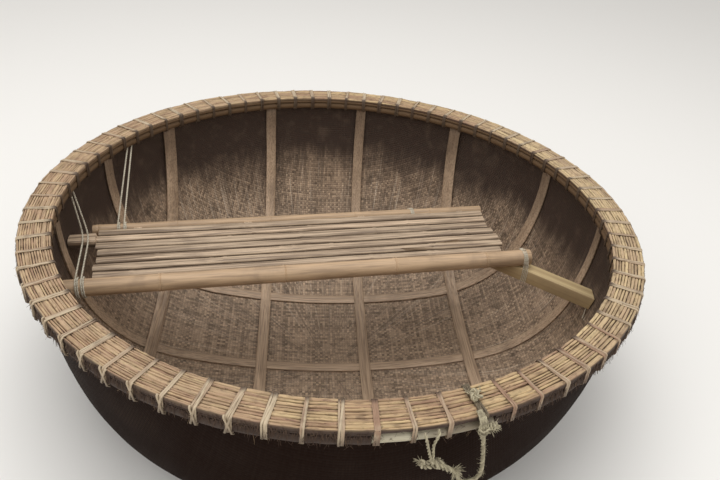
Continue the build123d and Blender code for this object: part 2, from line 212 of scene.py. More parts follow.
class Signal:
    """A node's output that takes part in sums; each operation adds its own node."""

    def __init__(self, finish, socket):
        self.finish = finish
        self.socket = socket

    def _math(self, operation, *others):
        return self.finish.node("ShaderNodeMath", {"operation": operation}, dict(enumerate((self, *others))))

    def __add__(self, other):
        return self._math("ADD", other)

    __radd__ = __add__

    def __sub__(self, other):
        return self._math("SUBTRACT", other)

    def __rsub__(self, other):
        return self * -1 + other

    def __mul__(self, other):
        return self._math("MULTIPLY", other)

    __rmul__ = __mul__

    def __truediv__(self, other):
        return self._math("DIVIDE", other)

    def __pow__(self, other):
        return self._math("POWER", other)

    def floor(self):
        return self._math("FLOOR")

    def fract(self):
        return self._math("FRACT")

    def abs(self):
        return self._math("ABSOLUTE")

    def sqrt(self):
        return self._math("SQRT")

    def sin(self):
        return self._math("SINE")

    def above(self, limit):
        return self._math("GREATER_THAN", limit)

    def angle_from(self, x):
        return self._math("ARCTAN2", x)

    def fade(self, low, high):
        """0 at low and 1 at high, smooth between them."""
        settings = {"interpolation_type": "SMOOTHSTEP", "clamp": True}
        return self.finish.node("ShaderNodeMapRange", settings, {0: self, 1: low, 2: high, 3: 0.0, 4: 1.0})


class Finish:
    """One material and the nodes that make it."""

    def __init__(self, name):
        self.material = bpy.data.materials.new(name)
        self.material.use_nodes = True
        self.tree = self.material.node_tree
        self.tree.nodes.clear()
        self.place = self.node("ShaderNodeTexCoord", {}, {}, "Object")

    def node(self, kind, settings, values, out=0):
        """Adds a node: its settings first, then a number, colour or link on each named socket."""
        node = self.tree.nodes.new(kind)
        for name, value in settings.items():
            setattr(node, name, value)
        for name, value in values.items():
            if isinstance(value, Signal):
                self.tree.links.new(value.socket, node.inputs[name])
            elif node.inputs[name].type == "RGBA":
                node.inputs[name].default_value = (*value, 1)
            else:
                node.inputs[name].default_value = value
        return Signal(self, node.outputs[out])

    def split(self, vector):
        """The three parts of a vector."""
        first = self.node("ShaderNodeSeparateXYZ", {}, {0: vector})
        outputs = first.socket.node.outputs
        return [Signal(self, output) for output in outputs]

    def join(self, x, y, z):
        return self.node("ShaderNodeCombineXYZ", {}, {0: x, 1: y, 2: z})

    def mix(self, factor, first, second):
        """Two colours mixed."""
        return self.node("ShaderNodeMix", {"data_type": "RGBA"}, {0: factor, 6: first, 7: second}, 2)

    def noise(self, vector, scale, detail):
        return self.node("ShaderNodeTexNoise", {}, {
            "Vector": vector, "Scale": scale, "Detail": detail, "Roughness": 0.55})

    def stretched(self, x, y, z, detail):
        """Noise over three signals that are already scaled, so that it may be long one way."""
        return self.noise(self.join(x, y, z), 1.0, detail)

    def chance(self, x, y, salt):
        """A random value for each whole pair of numbers."""
        return self.node("ShaderNodeTexWhiteNoise", {}, {"Vector": self.join(x, y, salt)})

    def attribute(self, name):
        return self.node("ShaderNodeAttribute", {"attribute_name": name}, {}, "Fac")

    def bump(self, height, distance, strength):
        return self.node("ShaderNodeBump", {}, {"Height": height, "Distance": distance, "Strength": strength})

    def done(self, base, roughness, normal=None, **fixed):
        """Ends the material with one Principled shader."""
        values = {"Base Color": base, "Roughness": roughness, **fixed}
        if normal is not None:
            values["Normal"] = normal
        shader = self.node("ShaderNodeBsdfPrincipled", {}, values)
        output = self.tree.nodes.new("ShaderNodeOutputMaterial")
        self.tree.links.new(shader.socket, output.inputs["Surface"])
        return self.material

    def turned(self, angle):
        """The place turned about Z."""
        return self.node("ShaderNodeMapping", {}, {"Vector": self.place, "Rotation": (0, 0, angle)})

    def laid_along(self, along):
        """The place turned so that X runs along a direction in plan."""
        return self.turned(-math.atan2(along[1], along[0]))

    def round_rim(self):
        """The angle round the rim, the distance from its centre and the height.
        The angle's seam is under the rope's lashing."""
        x, y, z = self.split(self.turned(math.radians(180 - ROPE_AZIMUTH)))
        return y.angle_from(x), (x * x + y * y).sqrt(), z


FINISHES = {}


def finish_of(name, maker):
    """The named material, made the first time that it is asked for."""
    if name not in FINISHES:
        FINISHES[name] = maker(name)
    return FINISHES[name]


def colours():
    return bpy.context.scene.boat_colours


def sizes():
    return bpy.context.scene.boat_sizes


def strip_finish(name):
    """Dry bamboo strips laid along the rim: fibres, bleaching, knots, dirt and painted shade in the grooves,
    and painted shade beside the lashings and on the outer edge.
    """
    c = colours()
    made = Finish(name)
    angle, radius, height = made.round_rim()
    tint = made.attribute("tint")
    fibre = made.stretched(angle * 14, radius * 900, height * 500, 4)
    coarse = made.stretched(angle * 9, radius * 60, height * 40, 3)
    patch = made.noise(made.place, 5.0, 3)
    x, _, _ = made.split(made.place)
    left = (x * -1 + patch * 0.6).fade(0.15, 0.95)
    right = (x + patch * 0.4).fade(0.55, 1.05)
    sunny = made.mix(tint, c.pink_tan, c.straw)
    dull = made.mix(tint * 0.6 + 0.4, c.pink_tan, c.grey_beige)
    base = made.mix(left, sunny, dull)
    pinkish = made.stretched(angle * 5, radius * 26, 0.0, 3).fade(0.52, 0.68)
    base = made.mix(pinkish * (0.70 - right * 0.40), base, c.pink_tan)
    base = made.mix(right * 0.30, base, paint(222, 204, 166))
    base = made.mix(coarse.fade(0.42, 0.62) * 0.30, base, c.groove)
    base = made.mix(fibre.fade(0.42, 0.72) * 0.55, base, paint(212, 192, 140))
    base = made.mix((1 - fibre.fade(0.25, 0.45)) * 0.5, base, paint(116, 78, 50))
    spots = made.stretched(angle * 60, radius * 220, height * 30, 2).fade(0.66, 0.74)
    base = made.mix(spots * 0.6, base, c.groove)
    bay = math.radians(BAY)
    beside = ((angle / bay).fract() - 0.5).abs() * radius * bay
    # Painted shade in the openings beside each lashing
    holes = (1 - beside.fade(0.008, 0.013)) * made.noise(made.place, 130.0, 2).fade(0.44, 0.56)
    base = made.mix(holes * 0.45, base, (0.020, 0.012, 0.008))
    mottle = made.stretched(angle * 38, radius * 130, tint * 9, 4)
    base = made.mix(mottle.fade(0.5, 0.68) * (0.45 - left * 0.20), base, c.groove)
    # Dirt and painted shade in the grooves: the strips' sides darken low down
    depth = 1 - height.fade(RIM_TOP - 0.0080, RIM_TOP - 0.0020)
    base = made.mix(depth * (0.92 - left * 0.60), base, c.groove)
    # Painted shade on the outermost strips' outer edge and side
    base = made.mix(radius.fade(0.9930, 0.9965) * 0.80, base, c.hoop)
    rough = fibre * 0.25 + 0.55
    return made.done(base, rough, made.bump(fibre + coarse * 0.5, 0.0016, 0.7))


def lashing_finish(name):
    """Split rattan: long fibres, some turns bleached, dust along the edges, and painted shade on the inner face
    and low on the outer face.
    """
    c = colours()
    made = Finish(name)
    angle, radius, height = made.round_rim()
    tint = made.attribute("tint")
    fibre = made.stretched(angle * 800, radius * 25, height * 25, 3)
    worn = made.noise(made.place, 22.0, 3)
    base = made.mix(tint, c.rattan, c.rattan_pale)
    edge = radius.fade(0.975, 1.0) * worn.fade(0.35, 0.6) * 0.65
    base = made.mix(edge, base, c.rattan_pale)
    # Painted shade on the strands' inner face, under the rim
    base = made.mix((1 - radius.fade(0.903, 0.925)) * 0.85, base, c.hoop)
    base = made.mix((1 - fibre.fade(0.3, 0.55)) * 0.5, base, (0.10, 0.055, 0.03))
    base = made.mix(worn.fade(0.5, 0.7) * 0.35, base, c.groove)
    # Painted shade low on the outer face, where the strands go down over the hoop
    hanging = radius.fade(0.994, 0.998) * (1 - height.fade(HOOP_BASE + 0.004, STRIP_BASE))
    base = made.mix(hanging * 0.6, base, c.hoop)
    return made.done(base, fibre * 0.2 + 0.5, made.bump(fibre, 0.0008, 0.6))


def hoop_finish(name):
    """Weathered bamboo hoops: dark, stringy and dusty in patches, darker towards the bottom edge, and paler on
    the inner hoop.
    """
    c = colours()
    made = Finish(name)
    angle, radius, height = made.round_rim()
    fibre = made.stretched(angle * 8, radius * 300, height * 420, 5)
    patch = made.noise(made.place, 9.0, 4)
    base = made.mix(fibre.fade(0.32, 0.68), (0.050, 0.028, 0.017), c.hoop)
    base = made.mix(patch.fade(0.48, 0.72) * 0.35, base, c.fringe)
    # Darker towards the bottom edge
    base = made.mix((1 - height.fade(HOOP_BASE, HOOP_BASE + 0.02)) * 0.55, base, (0.05, 0.03, 0.02))
    within = 1 - radius.fade(0.94, 0.96)
    base = made.mix(within * 0.6, base, c.inner_hoop)
    return made.done(base, 0.75, made.bump(fibre, 0.002, 0.6))


def fringe_finish(name):
    """Frayed bamboo fibres."""
    c = colours()
    made = Finish(name)
    tint = made.attribute("tint")
    base = made.mix(tint, c.hoop, c.fringe)
    base = made.mix(tint.fade(0.8, 1.0) * 0.5, base, c.straw)
    streak = made.noise(made.place, 240.0, 2)
    base = made.mix(streak * 0.4, base, c.groove)
    return made.done(base, streak * 0.2 + 0.7)


def new_bamboo_finish(name):
    """Pale new bamboo with a green-grey skin, fine long fibres and water stains."""
    c = colours()
    made = Finish(name)
    angle, radius, height = made.round_rim()
    fibre = made.stretched(angle * 5, radius * 500, height * 700, 4)
    stain = made.stretched(angle * 12, radius * 60, height * 60, 3)
    base = made.mix(fibre.fade(0.3, 0.7) * 0.45, c.new_bamboo, (0.34, 0.32, 0.22))
    base = made.mix(stain.fade(0.52, 0.75) * 0.4, base, (0.27, 0.22, 0.14))
    worn = 1 - angle.abs().fade(math.radians(169), math.radians(176))
    base = made.mix((1 - worn) * 0.6, base, c.fringe)
    return made.done(base, fibre * 0.2 + 0.42, made.bump(fibre, 0.0008, 0.5))


def woven(made, splint):
    """Plain weave over the piece's own map: height, open gap, a random value for each splint and for
    each crossing, and streaks along the splints."""
    u, v, _ = made.split(made.node("ShaderNodeUVMap", {"uv_map": "Mat"}, {}))
    wander = made.noise(made.place, 7.0, 2) - 0.5
    u = (u + wander * 0.010) / splint
    v = (v + wander * 0.008) / splint
    column, row = u.floor(), v.floor()
    across_u, across_v = (u.fract() - 0.5).abs() * 2, (v.fract() - 0.5).abs() * 2
    over = ((column + row) * 0.5).fract().above(0.25)
    dome_u, dome_v = 1 - across_u ** 2.5, 1 - across_v ** 2.5
    lift_u, lift_v = 1 - across_v * across_v, 1 - across_u * across_u
    height = over * (dome_u * 0.4 + lift_u * 0.6) + (1 - over) * (dome_v * 0.4 + lift_v * 0.6)
    gap = (over * across_u + (1 - over) * across_v).fade(0.80, 1.0)
    own = over * made.chance(column, 0.0, 3.0) + (1 - over) * made.chance(row, 9.0, 5.0)
    cell = made.chance(column, row, 1.0)
    streak_u = made.stretched(u * 14, v * 0.6, 0.0, 3)
    streak_v = made.stretched(u * 0.6, v * 14, 2.0, 3)
    streak = over * streak_u + (1 - over) * streak_v
    return height, gap, own, cell, streak


def inside_finish(name):
    """The woven inner face: dark red-brown splints under a painted shadow of the rim, and pale and grey low
    down, partly worn and partly painted sunlight.
    """
    c = colours()
    made = Finish(name)
    height, gap, own, cell, streak = woven(made, sizes().splint_width)
    angle, _, z = made.round_rim()
    patch = made.noise(made.place, 3.2, 4)
    runs = made.stretched(angle * 34, z * 2.2, 0.0, 4)
    # worn is 1 low on the wall: the pale low part is partly wear and partly painted sunlight, and the dark part
    # above is partly dirt and partly a painted shadow of the rim
    worn = 1 - (z + patch * 0.26 + runs * 0.18).fade(0.34, 0.58)
    base = made.mix(own * 0.55 + cell * 0.25, c.weave, (0.030, 0.017, 0.011))
    pale = made.mix(own * 0.7 + cell * 0.5, c.weave_pale, (0.17, 0.115, 0.075))
    base = made.mix(worn * 0.88, base, pale)
    base = made.mix(worn * runs.fade(0.50, 0.66) * 0.60, base, (0.15, 0.105, 0.072))
    wear = made.stretched(angle * 120, z * 3.0, 4.0, 3).fade(0.55, 0.72)
    base = made.mix(worn * wear * 0.60, base, (0.68, 0.56, 0.44))
    base = made.mix(streak.fade(0.35, 0.7) * (worn * 0.25 + 0.10), base, (0.42, 0.31, 0.20))
    base = made.mix(gap * 0.85, base, (0.018, 0.011, 0.008))
    dust = made.noise(made.place, 14.0, 5).fade(0.52, 0.75)
    base = made.mix(dust * (worn * 0.25 + 0.06), base, c.weave_pale)
    stains = made.noise(made.place, 26.0, 4).fade(0.56, 0.68)
    base = made.mix(stains * 0.5, base, (0.075, 0.048, 0.032))
    return made.done(base, streak * 0.25 + 0.55, made.bump(height + streak * 0.15, 0.0022, 0.9))


def outside_finish(name):
    """The woven outer face under its dark resin coat, with brush marks and worn high spots."""
    c = colours()
    made = Finish(name)
    height, gap, own, _, streak = woven(made, sizes().splint_width)
    patch = made.noise(made.place, 4.0, 5)
    base = made.mix(own * 0.35, c.resin, (0.022, 0.013, 0.009))
    worn = patch.fade(0.5, 0.72) * height.fade(0.55, 0.95)
    base = made.mix(worn * 0.40, base, (0.050, 0.032, 0.021))
    base = made.mix(gap * 0.6, base, (0.004, 0.003, 0.002))
    _, _, z = made.split(made.place)
    tide = 1 - (z + patch * 0.08).fade(0.04, 0.13)
    base = made.mix(tide * 0.45, base, (0.026, 0.026, 0.018))
    rough = 0.80 - patch.fade(0.3, 0.6) * 0.12
    normal = made.bump(height * 0.8 + streak * 0.2, 0.0016, 0.75)
    return made.done(base, rough, normal, **{"Specular IOR Level": 0.04})


def split_bamboo_finish(name, shade, along, fibres, dark, rim_shadow, cracks_and_gap_shade):
    """Weathered bamboo with its fibres along one direction in plan. It may be darkened towards the rim by
    painted shadow of the rim, and have dark cracks, and painted shade low down between the slats."""
    made = Finish(name)
    x, y, z = made.split(made.laid_along(along))
    tint = made.attribute("tint")
    fibre = made.stretched(x * 6, y * fibres, z * fibres * 0.4, 4)
    band = made.stretched(x * 3, y * 40, z * 16, 3)
    patch = made.noise(made.place, 7.0, 4)
    base = made.mix(tint * 0.5, shade, colours().weave_pale)
    base = made.mix((1 - tint) * 0.35, base, (0.26, 0.17, 0.11))
    base = made.mix((1 - fibre.fade(0.3, 0.6)) * dark, base, (0.09, 0.052, 0.030))
    base = made.mix(band.fade(0.45, 0.7) * 0.35, base, (0.20, 0.13, 0.08))
    base = made.mix(patch.fade(0.55, 0.75) * 0.4, base, (0.16, 0.11, 0.075))
    # Painted shadow of the rim, darker higher up
    base = made.mix((z + patch * 0.1).fade(0.30, 0.52) * rim_shadow, base, (0.105, 0.068, 0.044))
    streak = made.stretched(x * 2.2, y * 95, z * 30, 3).fade(0.50, 0.62)
    base = made.mix(streak * cracks_and_gap_shade * 0.75, base, (0.11, 0.068, 0.040))
    # Painted shade low on the slats' sides, between the slats
    low = 1 - (z + patch * 0.004).fade(SLAT_BASE + 0.0040, SLAT_BASE + 0.0105)
    base = made.mix(low * cracks_and_gap_shade, base, (0.035, 0.020, 0.012))
    return made.done(base, fibre * 0.25 + 0.42, made.bump(fibre + band * 0.6, 0.0014, 0.6))


def bamboo(name, shade, along, fibres, dark, rim_shadow=0.0, cracks_and_gap_shade=0.0):
    """The named weathered bamboo, made once."""
    return finish_of(name, lambda _: split_bamboo_finish(name, shade, along, fibres, dark, rim_shadow, cracks_and_gap_shade))


def timber_finish(name, along):
    """Sawn yellow wood with long grain, rings on the sawn ends, grime and painted shade over its length."""
    c = colours()
    made = Finish(name)
    turned = made.laid_along(along)
    x, y, z = made.split(turned)
    warp = made.noise(turned, 3.0, 2)
    rings = ((y * y + (z - 0.22) * (z - 0.22)).sqrt() * 190 + warp * 3 + x * 1.2).sin() * 0.5 + 0.5
    grain = made.stretched(x * 5, y * 260, z * 260, 4)
    base = made.mix(rings * 0.5, c.timber, (0.34, 0.21, 0.10))
    base = made.mix(grain.fade(0.4, 0.75) * 0.35, base, (0.26, 0.16, 0.08))
    grime = made.noise(made.place, 8.0, 4).fade(0.42, 0.72)
    # The darkening called middle is painted shade over the timber, mixed with its grime
    middle = 1 - (x - 0.55).fade(0.12, 0.26)
    base = made.mix(grime * 0.22 + middle * 0.25, base, (0.16, 0.11, 0.072))
    return made.done(base, grain * 0.2 + 0.55, made.bump(grain + rings * 0.3, 0.0010, 0.5))


def fibre_cord_finish(name, shade, dirt_and_shade):
    """Laid rope or twine: fine fibres and soil, paler on the outer turns, with painted shade in the grooves
    between the strands.
    """
    made = Finish(name)
    tint = made.attribute("tint")
    fine = made.noise(made.place, 620.0, 3)
    soil = made.noise(made.place, 45.0, 3)
    base = made.mix(tint * 0.55, shade, dirt_and_shade)
    base = made.mix(fine.fade(0.4, 0.65) * 0.35, base, dirt_and_shade)
    # Painted shade in the grooves between the strands
    base = made.mix(made.attribute("groove").fade(0.06, 0.55) * 0.92, base, dirt_and_shade)
    base = made.mix(soil.fade(0.5, 0.7) * 0.45, base, dirt_and_shade)
    return made.done(base, fine * 0.1 + 0.8, made.bump(fine, 0.0008, 0.7))


def floor_finish(name):
    """The plain pale floor, with the faintest unevenness."""
    made = Finish(name)
    cloud = made.noise(made.place, 0.6, 2)
    base = made.mix(cloud * 0.04, colours().floor, (0.70, 0.70, 0.70))
    return made.done(base, 0.9)


# Modelling helpers


def only(obj=None):
    """Leaves one object selected and active, or none."""
    bpy.ops.object.select_all(action="DESELECT")
    if obj is not None:
        obj.select_set(True)
        bpy.context.view_layer.objects.active = obj


@contextmanager
def editing(obj, kind="VERT"):
    """Edit mode on one object, with the vertices, edges or faces that were picked in object mode."""
    only(obj)
    bpy.context.tool_settings.mesh_select_mode = [kind == other for other in ("VERT", "EDGE", "FACE")]
    bpy.ops.object.mode_set(mode="EDIT")
    yield
    bpy.ops.object.mode_set(mode="OBJECT")


def select_all():
    bpy.ops.mesh.select_all(action="SELECT")


def extrude(x, y, z):
    """Draws what is selected out by one step."""
    bpy.ops.mesh.extrude_region_move(TRANSFORM_OT_translate={"value": (x, y, z)})


def agree():
    """Makes all faces look outwards, or the same way on an open surface."""
    select_all()
    bpy.ops.mesh.normals_make_consistent(inside=False)


def start(name):
    """Names the primitive that was just added."""
    obj = bpy.context.active_object
    obj.name = name
    obj.data.name = name
    return obj


def pick(obj, kind, test):
    """Selects an object's vertices by their place, its edges by their two ends or its faces by themselves."""
    mesh = obj.data
    for vertex in mesh.vertices:
        vertex.select = kind == "VERT" and test(vertex.co)
    for edge in mesh.edges:
        edge.select = kind == "EDGE" and test(*(mesh.vertices[index].co for index in edge.vertices))
    for face in mesh.polygons:
        face.select = kind == "FACE" and test(face)


def settle(obj):
    """Puts an object's place into its mesh."""
    only(obj)
    bpy.ops.object.transform_apply(location=True, rotation=True, scale=True)
    return obj


def modified(obj, kind, **settings):
    """Adds a modifier and applies it."""
    only(obj)
    modifier = obj.modifiers.new(kind.title(), kind)
    for name, value in settings.items():
        setattr(modifier, name, value)
    bpy.ops.object.modifier_apply(modifier=modifier.name)
    return obj


def clouds(name, scale):
    """A soft noise for uneven surfaces."""
    texture = bpy.data.textures.new(name, "CLOUDS")
    texture.noise_scale = scale
    texture.noise_depth = 1
    return texture


def uneven(obj, scale, strength):
    """Moves a surface in and out by a soft noise."""
    return modified(obj, "DISPLACE", texture=clouds(obj.name, scale), texture_coords="LOCAL",
                    strength=strength, mid_level=0.5)


def bevelled(obj, width, segments, degrees):
    """Bevels the edges that are sharper than an angle."""
    return modified(obj, "BEVEL", width=width, segments=segments, limit_method="ANGLE",
                    angle_limit=math.radians(degrees))


def right_way_up(obj, pick_one, looks_wrong):
    """Turns an open surface's faces over if its highest or lowest one looks the wrong way."""
    if looks_wrong(pick_one(obj.data.polygons, key=lambda face: face.center.z)):
        with editing(obj):
            select_all()
            bpy.ops.mesh.flip_normals()


def smooth(obj, degrees=40):
    only(obj)
    bpy.ops.object.shade_smooth_by_angle(angle=math.radians(degrees))
    return obj


def tinted(mesh, value):
    """Gives every point of a mesh the same tint."""
    attribute = mesh.attributes.get("tint") or mesh.attributes.new("tint", "FLOAT", "POINT")
    attribute.data.foreach_set("value", [value] * len(mesh.vertices))
    return mesh


def copies(name, pattern, rows):
    """Copies of a pattern mesh, one for each (matrix, tint) row, joined as one object."""
    objects = []
    for matrix, tint in rows:
        mesh = tinted(pattern.data.copy(), tint)
        mesh.transform(matrix)
        copy = bpy.data.objects.new(name, mesh)
        bpy.context.scene.collection.objects.link(copy)
        objects.append(copy)
    return joined(name, objects)


def joined(name, objects):
    """Several objects joined as one."""
    only(objects[0])
    for obj in objects:
        obj.select_set(True)
    if len(objects) > 1:
        bpy.ops.object.join()
    return start(name)


def drop(*objects):
    for obj in objects:
        bpy.data.objects.remove(obj)


def around(radius, azimuth, z):
    """A place by its distance from the centre, its azimuth and its height."""
    return Vector((radius * math.cos(math.radians(azimuth)), radius * math.sin(math.radians(azimuth)), z))


def turn(azimuth):
    return Matrix.Rotation(math.radians(azimuth), 4, "Z")


# Directions at the rope's lashing and at the bench
UP = Vector((0, 0, 1))
ROPE_OUT, ROPE_SIDE = around(1, ROPE_AZIMUTH, 0), around(1, ROPE_AZIMUTH + 90, 0)
BENCH_ALONG, BENCH_ACROSS = around(1, BENCH_TURN, 0), around(1, BENCH_TURN + 90, 0)


def finished(obj, material, slot, *nodes):
    """Gives a finished piece its material, its body and the nodes that it stands for; slot is not used."""
    if material is not None:
        obj.data.materials.clear()
        obj.data.materials.append(material)
    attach(obj, "root")
    if nodes:
        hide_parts(*nodes)
    return obj


def turned_band(name, outline, first, last, steps):
    """A closed (radius, height) outline spun about Z from one azimuth to another."""
    only()
    bpy.ops.mesh.primitive_circle_add(vertices=len(outline), radius=RIM_OUTER_R)
    obj = start(name)
    for vertex, (radius, height) in zip(obj.data.vertices, outline):
        vertex.co = around(radius, first, height)
    with editing(obj):
        select_all()
        bpy.ops.mesh.spin(steps=steps, angle=math.radians(first - last), center=(0, 0, 0), axis=(0, 0, 1))
        select_all()
        bpy.ops.mesh.remove_doubles(threshold=0.00001)
        if last - first < 360:
            bpy.ops.mesh.fill_holes(sides=0)
        agree()
    return settle(obj)


def domed(near, far, low, high, proud, points=5):
    """A (radius, height) outline, flat inside and domed outside; proud may be negative to dome inwards."""
    outline = [(near, low), (near, high)]
    for index in range(points):
        share = (index + 0.5) / points
        bulge = math.sin(math.pi * share) ** 0.5
        outline.append((far + proud * (bulge - 1), high + (low - high) * share))
    return outline


# The hull


def hull_stations():
    """Points of the hull's outer outline as (radius, height, slope) from the centre up."""
    r, z = 0.0, 0.0
    stations = []
    for radius, first, last, steps in HULL_ARCS:
        for step in range(1, steps + 1):
            low = math.radians(first + (last - first) * (step - 1) / steps)
            high = math.radians(first + (last - first) * step / steps)
            r += radius * (math.sin(high) - math.sin(low))
            z += radius * (math.cos(low) - math.cos(high))
            stations.append((r, z, high))
    wide = HULL_TOP_R / r
    tall = (STRIP_BASE - HULL_BOTTOM) / z
    return [(wide * r, HULL_BOTTOM + tall * z, slope) for r, z, slope in stations]


def hull_line(inset, top=STRIP_BASE):
    """The outline moved inwards by inset, up to a height."""
    line = [(r - inset * math.sin(slope), z + inset * math.cos(slope)) for r, z, slope in hull_stations()]
    below = [point for point in line if point[1] < top - 0.004]
    (low_r, low_z), (high_r, high_z) = below[-1], line[min(len(below), len(line) - 1)]
    share = (top - low_z) / (high_z - low_z)
    return below + [(low_r + (high_r - low_r) * share, top)]


def bowl(name, line):
    """An open bowl: a small disc whose edge is drawn out and up from level to level."""
    radius, height = line[0]
    only()
    bpy.ops.mesh.primitive_circle_add(vertices=BOWL_SIDES, radius=radius, fill_type="TRIFAN",
                                      location=(0, 0, height))
    obj = settle(start(name))
    pick(obj, "VERT", lambda place: place.to_2d().length > radius / 2)
    with editing(obj):
        for next_radius, next_height in line[1:]:
            extrude(0, 0, next_height - height)
            grow = next_radius / radius
            bpy.ops.transform.resize(value=(grow, grow, 1), center_override=(0, 0, next_height))
            radius, height = next_radius, next_height
    return obj


def map_as_mat(obj):
    """A map in which the bowl is a flat woven mat pressed down from its centre."""
    rows = [(0.0, HULL_BOTTOM)] + [(r, z) for r, z, _ in hull_stations()]
    keys, spans = [HULL_BOTTOM], [0.0]
    for (r0, z0), (r1, z1) in zip(rows, rows[1:]):
        keys.append(r1 + z1)
        spans.append(spans[-1] + math.hypot(r1 - r0, z1 - z0))

    def span(key):
        for index in range(1, len(keys)):
            if key <= keys[index] or index == len(keys) - 1:
                share = (key - keys[index - 1]) / (keys[index] - keys[index - 1])
                return spans[index - 1] + share * (spans[index] - spans[index - 1])

    flat = []
    for vertex in obj.data.vertices:
        plan = vertex.co.to_2d()
        flat.append(plan.normalized() * span(plan.length + vertex.co.z) if plan.length > 0 else plan)
    layer = obj.data.uv_layers.new(name="Mat")
    for loop in obj.data.loops:
        layer.data[loop.index].uv = flat[loop.vertex_index]


class BOAT_OT_hull(bpy.types.Operator):
    """Build the woven hull as one bowl with a coated outer face and a bare inner face"""
    bl_idname = "boat.hull"
    bl_label = "Hull"

    def execute(self, context):
        hull = bowl("woven_hull", hull_line(0.0))
        map_as_mat(hull)
        uneven(hull, 0.30, 0.004)
        with editing(hull):
            agree()
        right_way_up(hull, max, lambda face: face.normal.dot(face.center) < 0)
        hull.data.materials.append(finish_of("coated_weave", outside_finish))
        hull.data.materials.append(finish_of("bare_weave", inside_finish))
        modified(hull, "SOLIDIFY", thickness=WALL, offset=-1, material_offset=1)
        smooth(hull)
        finished(hull, None, "hull", "hull_shell")
        return {"FINISHED"}


# Ribs


def strap(name, axis, place, width, lift, thick, crown):
    """A strap cut from a bowl along one upright band, arched a little and given its thickness."""
    obj = bowl(name, hull_line(WALL + lift, HOOP_BASE - 0.004))
    across = Vector((0, 1, 0)) if axis == "x" else Vector((1, 0, 0))
    half = width / 2
    cuts = ((place - half, True, False), (place + half, False, True), (place - half * 0.6, False, False),
            (place, False, False), (place + half * 0.6, False, False))
    with editing(obj):
        for offset, clear_inner, clear_outer in cuts:
            select_all()
            bpy.ops.mesh.bisect(plane_co=across * offset, plane_no=across,
                                clear_inner=clear_inner, clear_outer=clear_outer)
        agree()
    right_way_up(obj, min, lambda face: face.normal.z < 0)
    obj.data.update()
    for vertex in obj.data.vertices:
        share = abs(vertex.co.dot(across) - place) / half
        vertex.co += vertex.normal * crown * (1 - share * share)
    modified(obj, "SOLIDIFY", thickness=thick, offset=1)
    return bevelled(obj, min(0.002, thick / 3), 2, 50)


class BOAT_OT_ribs(bpy.types.Operator):
    """Build the split bamboo ribs, each a pair of straps bent over the inside"""
    bl_idname = "boat.ribs"
    bl_label = "Ribs"

    def execute(self, context):
        draw = random.Random(sizes().seed)
        groups = (("x", "long_rib", RIBS_ALONG_X_AT_Y, 0.0, 0.009, (1, 0)),
                  ("y", "cross_rib", RIBS_ALONG_Y_AT_X, 0.004, 0.011, (0, 1)))
        for axis, label, places, lift, thick, along in groups:
            material = bamboo(f"{label}_bamboo", colours().rib, along, 260.0, 0.55, rim_shadow=0.55)
            for number, place in enumerate(places, 1):
                pair = []
                for side in (-1, 1):
                    half = strap(f"{label}_{number}_half", axis, place + side * RIB_SPLIT_ASIDE,
                                 RIB_SPLIT_WIDTH, lift, thick - draw.uniform(0, 0.002), RIB_CROWN)
                    tinted(half.data, draw.uniform(0.2, 1.0))
                    pair.append(half)
                rib = joined(f"split_{label}_{number}", pair)
                uneven(rib, 0.05, 0.0016)
                smooth(rib, 35)
                finished(rib, material, "rib", f"{label}_{number}")
        return {"FINISHED"}


# The rim


def strip_pattern():
    """One length of rim strip along Y, a unit long, wide and high, domed on top and pinched at its ends."""
    only()
    bpy.ops.mesh.primitive_cube_add(size=1)
    obj = start("strip_pattern")
    pick(obj, "EDGE", lambda a, b: abs(a.y - b.y) > 0.5)
    with editing(obj, "EDGE"):
        bpy.ops.mesh.subdivide(number_cuts=5)
    pick(obj, "EDGE", lambda a, b: min(a.z, b.z) > 0.4 and abs(a.x - b.x) < 0.01)
    with editing(obj, "EDGE"):
        bpy.ops.mesh.bevel(offset=0.28, segments=2)
    for end in (-1, 1):
        pick(obj, "VERT", lambda place: place.y * end > 0.45)
        with editing(obj):
            bpy.ops.transform.resize(value=(0.95, 1, 0.94), center_override=(0, end * 0.5, -0.5))
    return obj


def strip_widths(draw, room, usual):
    """Widths of the strips in one bay: mostly narrow, now and then a wide rough one."""
    widths = []
    while sum(widths) < room - usual * 0.6:
        wide = draw.random() < 0.07
        widths.append(usual * (draw.uniform(1.7, 2.4) if wide else draw.uniform(0.78, 1.22)))
    grow = room / sum(widths)
    return [width * grow for width in widths]


